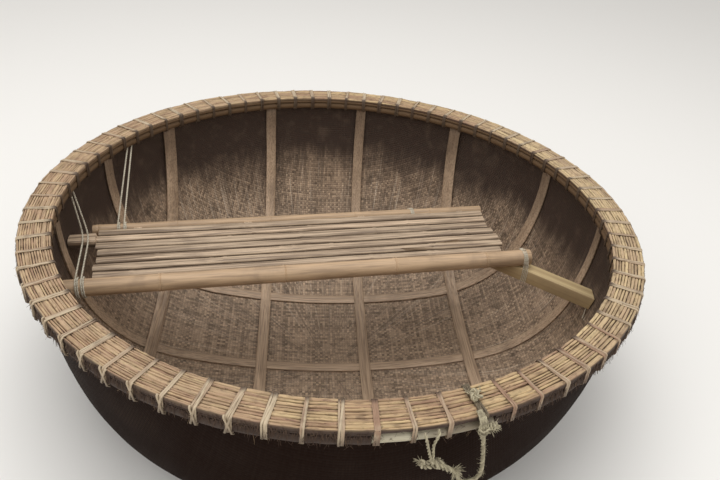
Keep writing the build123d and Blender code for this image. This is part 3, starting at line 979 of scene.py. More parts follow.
class BOAT_OT_strips(bpy.types.Operator):
    """Build the bamboo strips on the rim, bay by bay between the lashings"""
    bl_idname = "boat.strips"
    bl_label = "Rim strips"

    def execute(self, context):
        draw = random.Random(sizes().seed + 1)
        pattern = strip_pattern()
        inner, outer = RIM_INNER_R + 0.003, RIM_OUTER_R - 0.003
        height = RIM_TOP - STRIP_BASE
        rows = []
        run, widths, tints = 0, [], []
        for bay in range(LASH_COUNT):
            azimuth = ROPE_AZIMUTH + (bay + 0.5) * BAY
            if run == 0:
                run = draw.randint(1, 3)
                finer = FINER_SHARE if around(1, azimuth, 0).x < FINER_LEFT_OF else 1.0
                widths = strip_widths(draw, outer - inner, sizes().strip_width * finer)
                tints = [draw.random() for _ in widths]
            run -= 1
            at = inner
            for width, tint in zip(widths, tints):
                radius = at + width / 2
                reach = 2 * radius * math.tan(math.radians(BAY / 2)) + 0.002
                tall = height * draw.uniform(0.76, 1.0)
                size = Matrix.Diagonal((width - sizes().strip_gap * draw.uniform(0.6, 1.3), reach, tall, 1))
                tilt = (Matrix.Rotation(draw.uniform(-0.007, 0.007), 4, "Z")
                        @ Matrix.Rotation(draw.uniform(-0.16, 0.16), 4, "Y"))
                middle = Matrix.Translation((radius, 0, STRIP_BASE + tall / 2))
                shade = min(max(tint + draw.uniform(-0.22, 0.22), 0), 1)
                rows.append((turn(azimuth) @ middle @ tilt @ size, shade))
                at += width
        strips = copies("rim_strip_lengths", pattern, rows)
        drop(pattern)
        uneven(strips, 0.030, 0.0026)
        uneven(strips, 0.007, 0.0022)
        smooth(strips, 50)
        finished(strips, finish_of("rim_strip", strip_finish), "rim_strip", "rim_strips")

        near, far, low, high = inner + 0.002, outer - 0.002, STRIP_BASE + 0.0005, STRIP_BASE + 0.005
        bed = turned_band("strip_bed", [(near, low), (far, low), (far, high), (near, high)], 0, 360, BED_STEPS)
        smooth(bed)
        finished(bed, finish_of("hoop", hoop_finish), "hoop")
        return {"FINISHED"}


def strand_pattern(name, stops, width, thick):
    """One flat strand: an edge drawn from stop to stop in the upright plane, then thickened."""
    first = Vector((stops[0][0], 0, stops[0][1]))
    only()
    bpy.ops.mesh.primitive_plane_add(size=width, location=first + Vector((width / 2, 0, 0)))
    obj = settle(start(name))
    pick(obj, "VERT", lambda place: place.x > first.x + width / 2)
    with editing(obj):
        bpy.ops.mesh.delete(type="VERT")
    with editing(obj, "EDGE"):
        select_all()
        for (r0, z0), (r1, z1) in zip(stops, stops[1:]):
            extrude(r1 - r0, 0, z1 - z0)
        agree()
    right_way_up(obj, max, lambda face: face.normal.z < 0)
    return modified(obj, "SOLIDIFY", thickness=thick, offset=1)


def lash_stops(grow):
    """The way of a lashing over the rim as (radius, height), from the hull's inner face to its outer face."""
    near, far = RIM_INNER_R + 0.0027 - grow, RIM_OUTER_R - 0.0027 + grow
    low, high = HOOP_BASE - 0.0004 - grow, RIM_TOP - 0.0012 + grow
    soft = 0.005
    stops = [(HULL_TOP_R - WALL - 0.001, low + 0.002), (near + soft, low), (near, low + soft),
             (near, high - soft), (near + 0.0015, high - 0.0015), (near + soft, high)]
    steps = 5
    for step in range(1, steps):
        stops.append((near + (far - near) * step / steps, high - 0.0008 * (step % 2)))
    stops += [(far - soft, high), (far - 0.0015, high - 0.0015), (far, high - soft), (far, low + soft),
              (far - soft, low), (HULL_TOP_R + 0.003, low + 0.002)]
    return stops


class BOAT_OT_lashings(bpy.types.Operator):
    """Build the rattan lashings, two or three flat strands to each, some crossed on top or on the edge"""
    bl_idname = "boat.lashings"
    bl_label = "Lashings"

    def execute(self, context):
        draw = random.Random(sizes().seed + 2)
        width, thick = sizes().strand_width, sizes().strand_thick
        pattern = strand_pattern("strand_pattern", lash_stops(0.0), width, thick)
        second = strand_pattern("crossing_pattern", lash_stops(0.0012), width, thick)
        outside = strand_pattern("edge_turn_pattern", lash_stops(0.0030)[-6:-1], width, 0.0026)
        rows, over, edge, fuzz = [], [], [], []
        for bay in range(1, LASH_COUNT):
            azimuth = ROPE_AZIMUTH + bay * BAY + draw.uniform(-0.12, 0.12)
            skew = draw.uniform(-0.05, 0.05)
            near_rope = bay < 7 or bay > LASH_COUNT - 4
            pale = draw.uniform(0.0, 0.35) if near_rope else draw.uniform(0.45, 0.95)
            strands = 3 if draw.random() < 0.6 else 2
            pitch = width * 1.04
            for index in range(strands):
                aside = (index - (strands - 1) / 2) * pitch + draw.uniform(-0.0008, 0.0008)
                lean = self.leaning(aside, skew + draw.uniform(-0.015, 0.015))
                tint = min(max(pale + draw.uniform(-0.35, 0.35), 0), 1)
                rows.append((turn(azimuth) @ lean, tint))
            if draw.random() < 0.5:
                lean = self.leaning(0, skew + draw.choice((-0.11, 0.11)))
                over.append((turn(azimuth) @ lean, min(pale + 0.3, 1)))
            if EDGE_TURNS_FROM < azimuth < EDGE_TURNS_TO:
                crossing = RIM_TOP - EDGE_TURN_CROSSING
                there = turn(azimuth) @ Matrix.Translation((0, draw.uniform(-0.002, 0.002), crossing))
                for swing in (-0.30, 0.30):
                    swung = Matrix.Rotation(swing + draw.uniform(-0.10, 0.10), 4, "X")
                    edge.append((there @ swung @ Matrix.Translation((0, 0, -crossing)), draw.uniform(0.7, 1.0)))
                line = [around(RIM_OUTER_R - 0.001, azimuth, RIM_TOP - down)
                        for down in (0.012, 0.020, 0.028, 0.036)]
                fuzz.append(loose_fibres("edge_fuzz", line, 0.002, 16, 0.009, draw))
        parts = [copies("lashing_turns", pattern, rows), copies("crossing_turns", second, over),
                 copies("edge_turns", outside, edge), *fuzz]
        drop(pattern, second, outside)
        lashings = joined("rattan_lashings", parts)
        bevelled(lashings, 0.0005, 1, 60)
        uneven(lashings, 0.010, 0.0014)
        smooth(lashings, 60)
        finished(lashings, finish_of("split_rattan", lashing_finish), "lashing", "rim_lashings")
        return {"FINISHED"}

    @staticmethod
    def leaning(aside, skew):
        """A strand moved aside and turned a little about the rim's middle."""
        middle = Matrix.Translation((HULL_TOP_R, aside, 0))
        return middle @ Matrix.Rotation(skew, 4, "Z") @ Matrix.Translation((-HULL_TOP_R, 0, 0))


class BOAT_OT_hoops(bpy.types.Operator):
    """Build the hoops inside and outside the hull's edge, with the pale new length"""
    bl_idname = "boat.hoops"
    bl_label = "Hoops"

    def execute(self, context):
        near, far = HULL_TOP_R + SEAT, RIM_OUTER_R - 0.003
        top = STRIP_BASE - SEAT
        weathered = finish_of("hoop", hoop_finish)
        layers = ((near, near + 0.017, HOOP_BASE, top, 0.003),
                  (near + 0.0175, far - 0.016, HOOP_BASE + 0.004, top, 0.004),
                  (far - 0.0155, far, HOOP_BASE + 0.001, top - 0.010, 0.006),
                  (far - 0.0155, far - 0.001, top - 0.0095, top, 0.004))
        bands = []
        last = 360 + NEW_HOOP_START - CUT_END
        for number, layer in enumerate(layers, 1):
            label = f"outer_hoop_layer_{number}"
            bands.append(turned_band(label, domed(*layer), NEW_HOOP_END, last, BAND_STEPS))
        outer = joined("outer_hoop_layers", bands)
        uneven(outer, 0.020, 0.0035)
        smooth(outer, 50)
        finished(outer, weathered, "hoop", "outer_hoop")

        inner_near, inner_far = RIM_INNER_R + 0.003, HULL_TOP_R - WALL - SEAT
        lower_outline = domed(inner_far, inner_near + 0.001, HOOP_BASE, top - 0.0125, -0.009, 7)
        upper_outline = domed(inner_far, inner_near, top - 0.012, top, -0.004)
        lower = turned_band("inner_hoop_low", lower_outline, 0, 360, BAND_STEPS)
        upper = turned_band("inner_hoop_high", upper_outline, 0, 360, BAND_STEPS)
        inner = joined("inner_hoop_layers", [lower, upper])
        uneven(inner, 0.025, 0.0024)
        smooth(inner, 50)
        finished(inner, weathered, "hoop", "inner_hoop")

        self.new_length(near, far, top)
        return {"FINISHED"}

    def new_length(self, near, far, top):
        """Half a culm, hollow side to the hull, with a dark old layer over and behind it."""
        low, high = HOOP_BASE + 0.0005, top - 0.012
        middle, half = (low + high) / 2, (high - low) / 2
        depth, wall = 0.022, 0.006
        angles = [math.pi * (index / 8 - 0.5) for index in range(9)]
        outline = [(far - depth + depth * math.cos(angle), middle + half * math.sin(angle)) for angle in angles]
        outline += [(far - depth + (depth - wall) * math.cos(angle), middle + (half - wall) * math.sin(angle))
                    for angle in reversed(angles)]
        first = NEW_HOOP_START - CUT_END + 0.08
        new = turned_band("new_hoop_length", outline, first, NEW_HOOP_END, NEW_LENGTH_STEPS)
        uneven(new, 0.030, 0.0012)
        smooth(new, 35)
        finished(new, finish_of("new_bamboo", new_bamboo_finish), "new_hoop", "new_outer_hoop")
        back = turned_band("old_layer_behind", domed(near, far - 0.012, top - 0.0115, top, 0.003),
                           NEW_HOOP_START, NEW_HOOP_END, NEW_LENGTH_STEPS)
        core = turned_band("old_layer_core", domed(near, near + 0.019, low, top - 0.012, 0.003),
                           NEW_HOOP_START, NEW_HOOP_END, NEW_LENGTH_STEPS)
        old = joined("old_hoop_behind", [back, core])
        uneven(old, 0.020, 0.0030)
        smooth(old, 50)
        finished(old, finish_of("hoop", hoop_finish), "hoop")


def blade_pattern(name, joints):
    """One frayed fibre along X, a unit long, narrowing and curling down to its tip."""
    only()
    bpy.ops.mesh.primitive_plane_add(size=1, location=(0, 0, 0))
    obj = start(name)
    for vertex in obj.data.vertices:
        vertex.co = (0.0 if vertex.co.x < 0 else 1 / joints, vertex.co.y, 0)
    pick(obj, "VERT", lambda place: place.x > 0.01)
    with editing(obj):
        for joint in range(1, joints):
            extrude(1 / joints, 0, -0.09 * joint)
            bpy.ops.transform.resize(value=(1, 0.62, 1))
    return obj


class BOAT_OT_fringe(bpy.types.Operator):
    """Hang frayed fibres over the outer hoop and stand some off it"""
    bl_idname = "boat.fringe"
    bl_label = "Frayed edge"

    def execute(self, context):
        draw = random.Random(sizes().seed + 3)
        pattern = blade_pattern("fibre_pattern", 3)
        hanging = [self.hanging(draw) for _ in range(HANGING_FIBRES)]
        loose = [self.loose(draw) for _ in range(LOOSE_FIBRES)]
        fringe = copies("frayed_fibres", pattern, hanging + loose)
        drop(pattern)
        modified(fringe, "SOLIDIFY", thickness=0.0004, offset=0)
        finished(fringe, finish_of("frayed_fibre", fringe_finish), "hoop")
        return {"FINISHED"}

    @staticmethod
    def hanging(draw):
        """A flat fibre from under the strips down over the hoop's face, none over the new length."""
        azimuth = draw.uniform(NEW_HOOP_END + 1, 360 + NEW_HOOP_START - 0.5)
        reach = draw.uniform(0.010, 0.026)
        root = Matrix.Translation((RIM_OUTER_R - 0.0026, 0, draw.uniform(0.550, RIM_TOP - 0.003)))
        place = (turn(azimuth) @ root
                 @ Matrix.Rotation(draw.uniform(1.45, 1.62), 4, "Y")
                 @ Matrix.Rotation(draw.gauss(0, 0.22), 4, "Z")
                 @ Matrix.Rotation(math.pi + draw.uniform(-0.4, 0.4), 4, "X")
                 @ Matrix.Diagonal((reach, draw.uniform(0.0008, 0.0024), reach * 0.35, 1)))
        return place, draw.random() * 0.7

    @staticmethod
    def loose(draw):
        """A thin fibre that stands off the hoop or the strips' edge."""
        azimuth = draw.uniform(0, 360)
        if draw.random() < 0.35:
            azimuth = ROPE_AZIMUTH + BAY * draw.randint(1, LASH_COUNT) + draw.gauss(0, 0.35)
        reach = sizes().fibre_length * draw.uniform(0.35, 1.25)
        root = Matrix.Translation((RIM_OUTER_R - 0.005, 0, draw.uniform(HOOP_BASE, STRIP_BASE + 0.006)))
        place = (turn(azimuth) @ root
                 @ Matrix.Rotation(draw.uniform(0.5, 1.35), 4, "Y")
                 @ Matrix.Rotation(draw.uniform(-1.3, 1.3), 4, "Z")
                 @ Matrix.Rotation(draw.uniform(-0.8, 0.8), 4, "X")
                 @ Matrix.Diagonal((reach, draw.uniform(0.0004, 0.0011), reach * 0.5, 1)))
        return place, draw.random()


# The bench


def on_bench(along, across, z):
    """A point given along the bench from the boat's centre, across it and over the water."""
    return turn(BENCH_TURN) @ Vector((along, across, z))


def laid_on_bench(obj):
    """Turns a piece that was made along X to lie along the bench."""
    obj.data.transform(turn(BENCH_TURN))
    obj.data.update()
    return obj


def culm(name, first, last, across, z, radius, joints):
    """A bamboo culm along X: a ring drawn out from station to station, raised at its joints, cut hollow."""
    stations = [(first, 1.0)]
    for joint in joints:
        for offset, grow in ((-0.012, 1.0), (-0.004, 1.07), (0.0, 0.99), (0.003, 1.06), (0.014, 1.0)):
            stations.append((joint + offset, grow))
    stations.append((last, 1.0))
    only()
    bpy.ops.mesh.primitive_circle_add(vertices=28, radius=radius, rotation=(0, math.pi / 2, 0),
                                      location=(first, across, z))
    obj = settle(start(name))
    with editing(obj):
        select_all()
        at, now = first, 1.0
        for x, grow in stations[1:]:
            extrude(x - at, 0, 0)
            bpy.ops.transform.resize(value=(1, grow / now, grow / now), center_override=(x, across, z))
            at, now = x, grow
        for inwards, shrink in ((0.0, 0.93), (-0.0025, 0.82), (-0.020, 0.96)):
            extrude(inwards, 0, 0)
            at += inwards
            bpy.ops.transform.resize(value=(1, shrink, shrink), center_override=(at, across, z))
        bpy.ops.mesh.select_all(action="DESELECT")
        bpy.ops.mesh.select_non_manifold()
        bpy.ops.mesh.fill_holes(sides=0)
        agree()
    return obj


class BOAT_OT_bench(bpy.types.Operator):
    """Build the bench: two poles, seven split slats and their bearers"""
    bl_idname = "boat.bench"
    bl_label = "Bench"

    def execute(self, context):
        draw = random.Random(sizes().seed + 4)
        pole_material = bamboo("pole_bamboo", colours().pole, BENCH_ALONG, 150.0, 0.4)
        slat_material = bamboo("slat_bamboo", colours().slat, BENCH_ALONG, 240.0, 0.8, cracks_and_gap_shade=0.9)
        bearer_material = bamboo("bearer_bamboo", colours().slat, BENCH_ACROSS, 240.0, 0.6)
        poles = (("front", FRONT_POLE_START, FRONT_POLE_END, FRONT_POLE_ACROSS, BENCH_Z, FRONT_POLE_D,
                  (-0.60, -0.19, 0.20, 0.54, 0.695)),
                 ("rear", REAR_POLE_START, REAR_POLE_END, REAR_POLE_ACROSS, REAR_POLE_Z, REAR_POLE_D,
                  (-0.828, -0.55, -0.20, 0.13, 0.44)))
        for side, first, last, middle, z, diameter, joints in poles:
            body = culm(f"{side}_pole_culm", first, last, middle, z, diameter * 0.4825, joints)
            tinted(body.data, draw.uniform(0.1, 0.4))
            uneven(laid_on_bench(body), 0.05, 0.0020)
            smooth(body, 40)
            finished(body, pole_material, "pole", f"bench_{side}_pole")
        pitch = (SLATS_TO - SLATS_FROM) / SLAT_COUNT
        for number in range(1, SLAT_COUNT + 1):
            block = (0.09, 0.054, 0.026) if number == LONG_SLAT else None
            first = LONG_SLAT_START if block else SLAT_START + draw.uniform(0, 0.012)
            slat = self.slat(f"split_slat_{number}", first, SLATS_FROM + (number - 0.5) * pitch, block, draw)
            finished(slat, slat_material, "slat", f"bench_slat_{number}")
        bearers = [self.bearer(place, draw) for place in BEARERS_ALONG]
        bearer = laid_on_bench(joined("split_bearers", bearers))
        uneven(bearer, 0.03, 0.002)
        smooth(bearer, 40)
        finished(bearer, bearer_material, "slat", "bench_bearers")
        return {"FINISHED"}

    @staticmethod
    def bearer(place, draw):
        """A bearer between the poles' middles, its edges rounded."""
        only()
        bpy.ops.mesh.primitive_cube_add(
            size=1, location=(place, (FRONT_POLE_ACROSS + REAR_POLE_ACROSS) / 2, SLAT_BASE - BEARER_THICK / 2),
            scale=(BEARER_WIDTH, REAR_POLE_ACROSS - FRONT_POLE_ACROSS, BEARER_THICK))
        bearer = settle(start("bearer"))
        with editing(bearer, "EDGE"):
            select_all()
            bpy.ops.mesh.bevel(offset=0.003, segments=2)
        tinted(bearer.data, draw.random())
        return bearer

    @staticmethod
    def slat(name, first, middle, block, draw):
        """A split slat: a cube drawn out by its joints, rounded on top, a little warped and askew.
        The long slat starts with a thick unsplit block of a given length, width and height."""
        width = SLAT_WIDTH * draw.uniform(0.82, 0.96)
        tall, base = SLAT_THICK, SLAT_BASE + SEAT
        run, wide, high = block or (0.02, width, tall)
        last = SLAT_END - draw.uniform(0, 0.030)
        joints = sorted(draw.uniform(first + 0.1, last - 0.1) for _ in range(4))
        stops = []
        for joint in joints:
            stops += [(joint - 0.010, 1.0), (joint - 0.003, 1.10), (joint + 0.004, 1.08), (joint + 0.012, 1.0)]
        stops.append((last, 1.0))
        only()
        bpy.ops.mesh.primitive_cube_add(size=1, location=(first + run / 2, middle, base + tall / 2),
                                        scale=(run, wide, high))
        obj = settle(start(name))
        pick(obj, "FACE", lambda face: face.normal.x > 0.5)
        with editing(obj, "FACE"):
            at, now = first + run, 1.0
            if block:
                at += 0.004
                extrude(0.004, 0, 0)
                bpy.ops.transform.resize(value=(1, width / wide, tall / high),
                                         center_override=(at, middle, base + tall / 2))
            for x, grow in stops:
                extrude(x - at, 0, 0)
                bpy.ops.transform.resize(value=(1, 1, grow / now), center_override=(x, 0, base))
                at, now = x, grow
        pick(obj, "EDGE", lambda a, b: min(a.z, b.z) > base + tall * 0.7 and abs(a.y - b.y) < width * 0.27)
        with editing(obj, "EDGE"):
            bpy.ops.mesh.bevel(offset=width * 0.24, segments=3)
        askew = Matrix.Translation((0, middle, 0)) @ Matrix.Rotation(draw.uniform(-0.002, 0.002), 4, "Z")
        obj.data.transform(askew @ Matrix.Translation((0, -middle, 0)))
        tinted(obj.data, draw.random())
        uneven(laid_on_bench(obj), 0.09, 0.004)
        uneven(obj, 0.015, 0.0012)
        return smooth(obj, 35)


class BOAT_OT_timber(bpy.types.Operator):
    """Build the squared timber under the bench from its own frame piece, with worn edges and its ties"""
    bl_idname = "boat.timber"
    bl_label = "Timber"

    def execute(self, context):
        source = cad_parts["cross_timber"]
        draw = random.Random(sizes().seed + 7)
        timber = bpy.data.objects.new("sawn_timber", source.data.copy())
        bpy.context.scene.collection.objects.link(timber)
        with editing(timber, "FACE"):
            select_all()
            bpy.ops.mesh.remove_doubles(threshold=0.0001)
            bpy.ops.mesh.dissolve_limited(angle_limit=math.radians(2))
        bevelled(timber, 0.0035, 3, 40)
        tinted(timber.data, 0.5)
        smooth(timber, 35)
        front = turn(-BENCH_TURN) @ Vector((*TIMBER_FRONT, 0))
        along = (Vector((*TIMBER_UNDER_POLE, 0)) - front).normalized()
        grain = turn(BENCH_TURN) @ along
        sawn_wood = finish_of("sawn_wood", lambda name: timber_finish(name, grain))
        finished(timber, sawn_wood, "timber", "cross_timber")
        low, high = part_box("cross_timber")
        ties = []
        for across, z, diameter in ((FRONT_POLE_ACROSS, BENCH_Z, FRONT_POLE_D),
                                    (REAR_POLE_ACROSS, REAR_POLE_Z, REAR_POLE_D)):
            x = front.x + along.x * (across - front.y) / along.y
            ties += self.tie(x, across, z, diameter / 2, low.z, high.z, along, draw)
        for number in range(3):
            foot = front + along * (0.024 + 0.012 * number)
            drop_by = draw.uniform(0.040, 0.060)
            tail = [Vector((foot.x, foot.y - 0.022, low.z + 0.001)),
                    Vector((foot.x - 0.006, foot.y - 0.030, low.z - drop_by * 0.5)),
                    Vector((foot.x - draw.uniform(0.004, 0.022), foot.y - 0.032, low.z - drop_by))]
            ties.append(laid("timber_tail", spline_points(tail), 0.0044, 2, 0.014, draw))
        tie = laid_on_bench(joined("timber_ties", ties))
        smooth(tie, 60)
        finished(tie, twine_material(), "twine")
        return {"FINISHED"}

    @staticmethod
    def tie(x, y, z, radius, base, top, along, draw):
        """Turns of twine over a pole and under the timber that carries it."""
        width = sizes().twine_width
        half = 0.026 / abs(along.x) + width * 0.7
        turns = []
        for number in range(4):
            here = x + (number - 1.5) * width * 1.15
            middle = y + (here - x) * along.y / along.x
            ring = [(here, y, z + radius + width * 0.6), (here, y + radius * 0.9, z + radius * 0.75),
                    (here, middle + half, top + 0.010), (here, middle + half, base + 0.004),
                    (here, middle + half - 0.004, base - width * 0.6),
                    (here, middle - half + 0.004, base - width * 0.6),
                    (here, middle - half, base + 0.004), (here, middle - half, top + 0.010),
                    (here, y - radius * 0.9, z + radius * 0.75)]
            turns.append(laid("timber_tie_turn", spline_points(ring + ring[:2]), width, 2, 0.014, draw))
        return turns


# Ropes and twines


def spline_points(points):
    """A smooth line through a list of control points, as the curve's own mesh gives it."""
    curve = bpy.data.curves.new("route", "CURVE")
    curve.dimensions = "3D"
    spline = curve.splines.new("NURBS")
    spline.points.add(len(points) - 1)
    for point, place in zip(spline.points, points):
        point.co = (*place, 1)
    spline.order_u = min(3, len(points))
    spline.use_endpoint_u = True
    curve.resolution_u = 16
    holder = bpy.data.objects.new("route", curve)
    mesh = bpy.data.meshes.new_from_object(holder)
    places = [vertex.co.copy() for vertex in mesh.vertices]
    bpy.data.objects.remove(holder)
    bpy.data.curves.remove(curve)
    bpy.data.meshes.remove(mesh)
    return places


def evenly(places, step):
    """Points at even distances along a line of places."""
    total = sum((b - a).length for a, b in zip(places, places[1:]))
    count = max(int(total / step), 3)
    out, gone, index = [places[0]], 0.0, 0
    for number in range(1, count):
        target = total * number / count
        while gone + (places[index + 1] - places[index]).length < target:
            gone += (places[index + 1] - places[index]).length
            index += 1
        piece = places[index + 1] - places[index]
        out.append(places[index] + piece * ((target - gone) / piece.length))
    out.append(places[-1])
    return out


def tube(name, places, radius, ends=1.0, roundness=3):
    """A round strand along a line of places, narrowed at its two ends if ends is under 1."""
    curve = bpy.data.curves.new(name, "CURVE")
    curve.dimensions = "3D"
    curve.bevel_depth = radius
    curve.bevel_resolution = roundness
    curve.use_fill_caps = True
    spline = curve.splines.new("POLY")
    spline.points.add(len(places) - 1)
    for index, (point, place) in enumerate(zip(spline.points, places)):
        point.co = (*place, 1)
        point.radius = ends if index in (0, len(places) - 1) else 1.0
    obj = bpy.data.objects.new(name, curve)
    bpy.context.scene.collection.objects.link(obj)
    only(obj)
    bpy.ops.object.convert(target="MESH")
    return bpy.context.active_object


def laid(name, places, across, strands, pitch, draw):
    """Strands twisted about a line of places; across is the whole rope's diameter."""
    share = {2: 0.52, 3: 0.475}[strands]
    strand_r = across / 2 * share
    offset = across / 2 - strand_r
    points = evenly(places, pitch / 12)
    side = (points[1] - points[0]).orthogonal().normalized()
    travelled = 0.0
    lines = [[] for _ in range(strands)]
    for index, point in enumerate(points):
        before, after = points[max(index - 1, 0)], points[min(index + 1, len(points) - 1)]
        ahead = (after - before).normalized()
        side = (side - ahead * side.dot(ahead)).normalized()
        other = ahead.cross(side)
        if index:
            travelled += (point - points[index - 1]).length
        for strand in range(strands):
            angle = 2 * math.pi * (travelled / pitch + strand / strands)
            lines[strand].append(point + (side * math.cos(angle) + other * math.sin(angle)) * offset)
    parts = []
    for number, line in enumerate(lines):
        part = tube(name, line, strand_r)
        tinted(part.data, (number + draw.random()) / strands)
        ring = len(part.data.vertices) // len(points)
        # The groove value grows towards the rope's middle, between the strands; the cord finish paints shade
        # there
        groove = part.data.attributes.new("groove", "FLOAT", "POINT")
        for index, vertex in enumerate(part.data.vertices):
            out = (vertex.co - points[min(index // ring, len(points) - 1)]).length
            groove.data[index].value = min(max((across / 2 - out) / strand_r, 0), 1)
        parts.append(part)
    return joined(name, parts)


def loose_fibres(name, places, radius, count, reach, draw):
    """Short fibres standing off a rope."""
    pattern = blade_pattern("rope_fibre_pattern", 3)
    rows = []
    for _ in range(count):
        index = draw.randrange(1, len(places) - 1)
        ahead = (places[index + 1] - places[index - 1]).normalized()
        out = Matrix.Rotation(draw.uniform(0, 6.28), 3, ahead) @ ahead.orthogonal().normalized()
        heading = (out + ahead * draw.uniform(-1.2, 1.2)).normalized()
        facing = heading.to_track_quat("X", "Z").to_matrix().to_4x4()
        size = Matrix.Diagonal((reach * draw.uniform(0.4, 1.2), draw.uniform(0.0003, 0.0006), reach, 1))
        rows.append((Matrix.Translation(places[index] + out * radius * 0.7) @ facing @ size, draw.random()))
    fibres = copies(name, pattern, rows)
    drop(pattern)
    return modified(fibres, "SOLIDIFY", thickness=0.0003, offset=0)


def by_rope(along, out, down):
    """A point given along the rim from the rope's lashing, out from its edge and down from its top."""
    here = around(RIM_OUTER_R + out, ROPE_AZIMUTH, RIM_TOP - down)
    return here + around(along, ROPE_AZIMUTH + 90, 0)


def tuft(place, heading, count, reach, draw):
    """Thin curled fibres that spread from one place."""
    heading = heading.normalized()
    fibres = []
    for _ in range(count):
        spread = Vector([draw.gauss(0, 0.45) for _ in range(3)])
        way = (heading + spread).normalized() * reach * draw.uniform(0.5, 1.1)
        curl = Vector([draw.gauss(0, 0.003) for _ in range(3)])
        droop = Vector((0, 0, -0.3 * way.length))
        line = [place + curl * 0.5, place + way * 0.5 + curl, place + way + droop + curl * 1.5]
        fibre = tube("tuft_fibre", spline_points(line)[::6], 0.00055, 0.3, 1)
        tinted(fibre.data, draw.random())
        fibres.append(fibre)
    return fibres


def cord_material(name, shade, dirt_and_shade):
    """The named rope or twine, made once."""
    return finish_of(name, lambda _: fibre_cord_finish(name, shade, dirt_and_shade))


def rope_material():
    return cord_material("laid_rope", colours().rope, (0.10, 0.078, 0.050))


def twine_material():
    return cord_material("twine", colours().twine, (0.30, 0.25, 0.18))


def rope_piece(name, parts, node, material=None):
    """Laid cords and tufts joined as one finished piece of the rope."""
    return finished(smooth(joined(name, parts), 60), material or rope_material(), "rope", node)


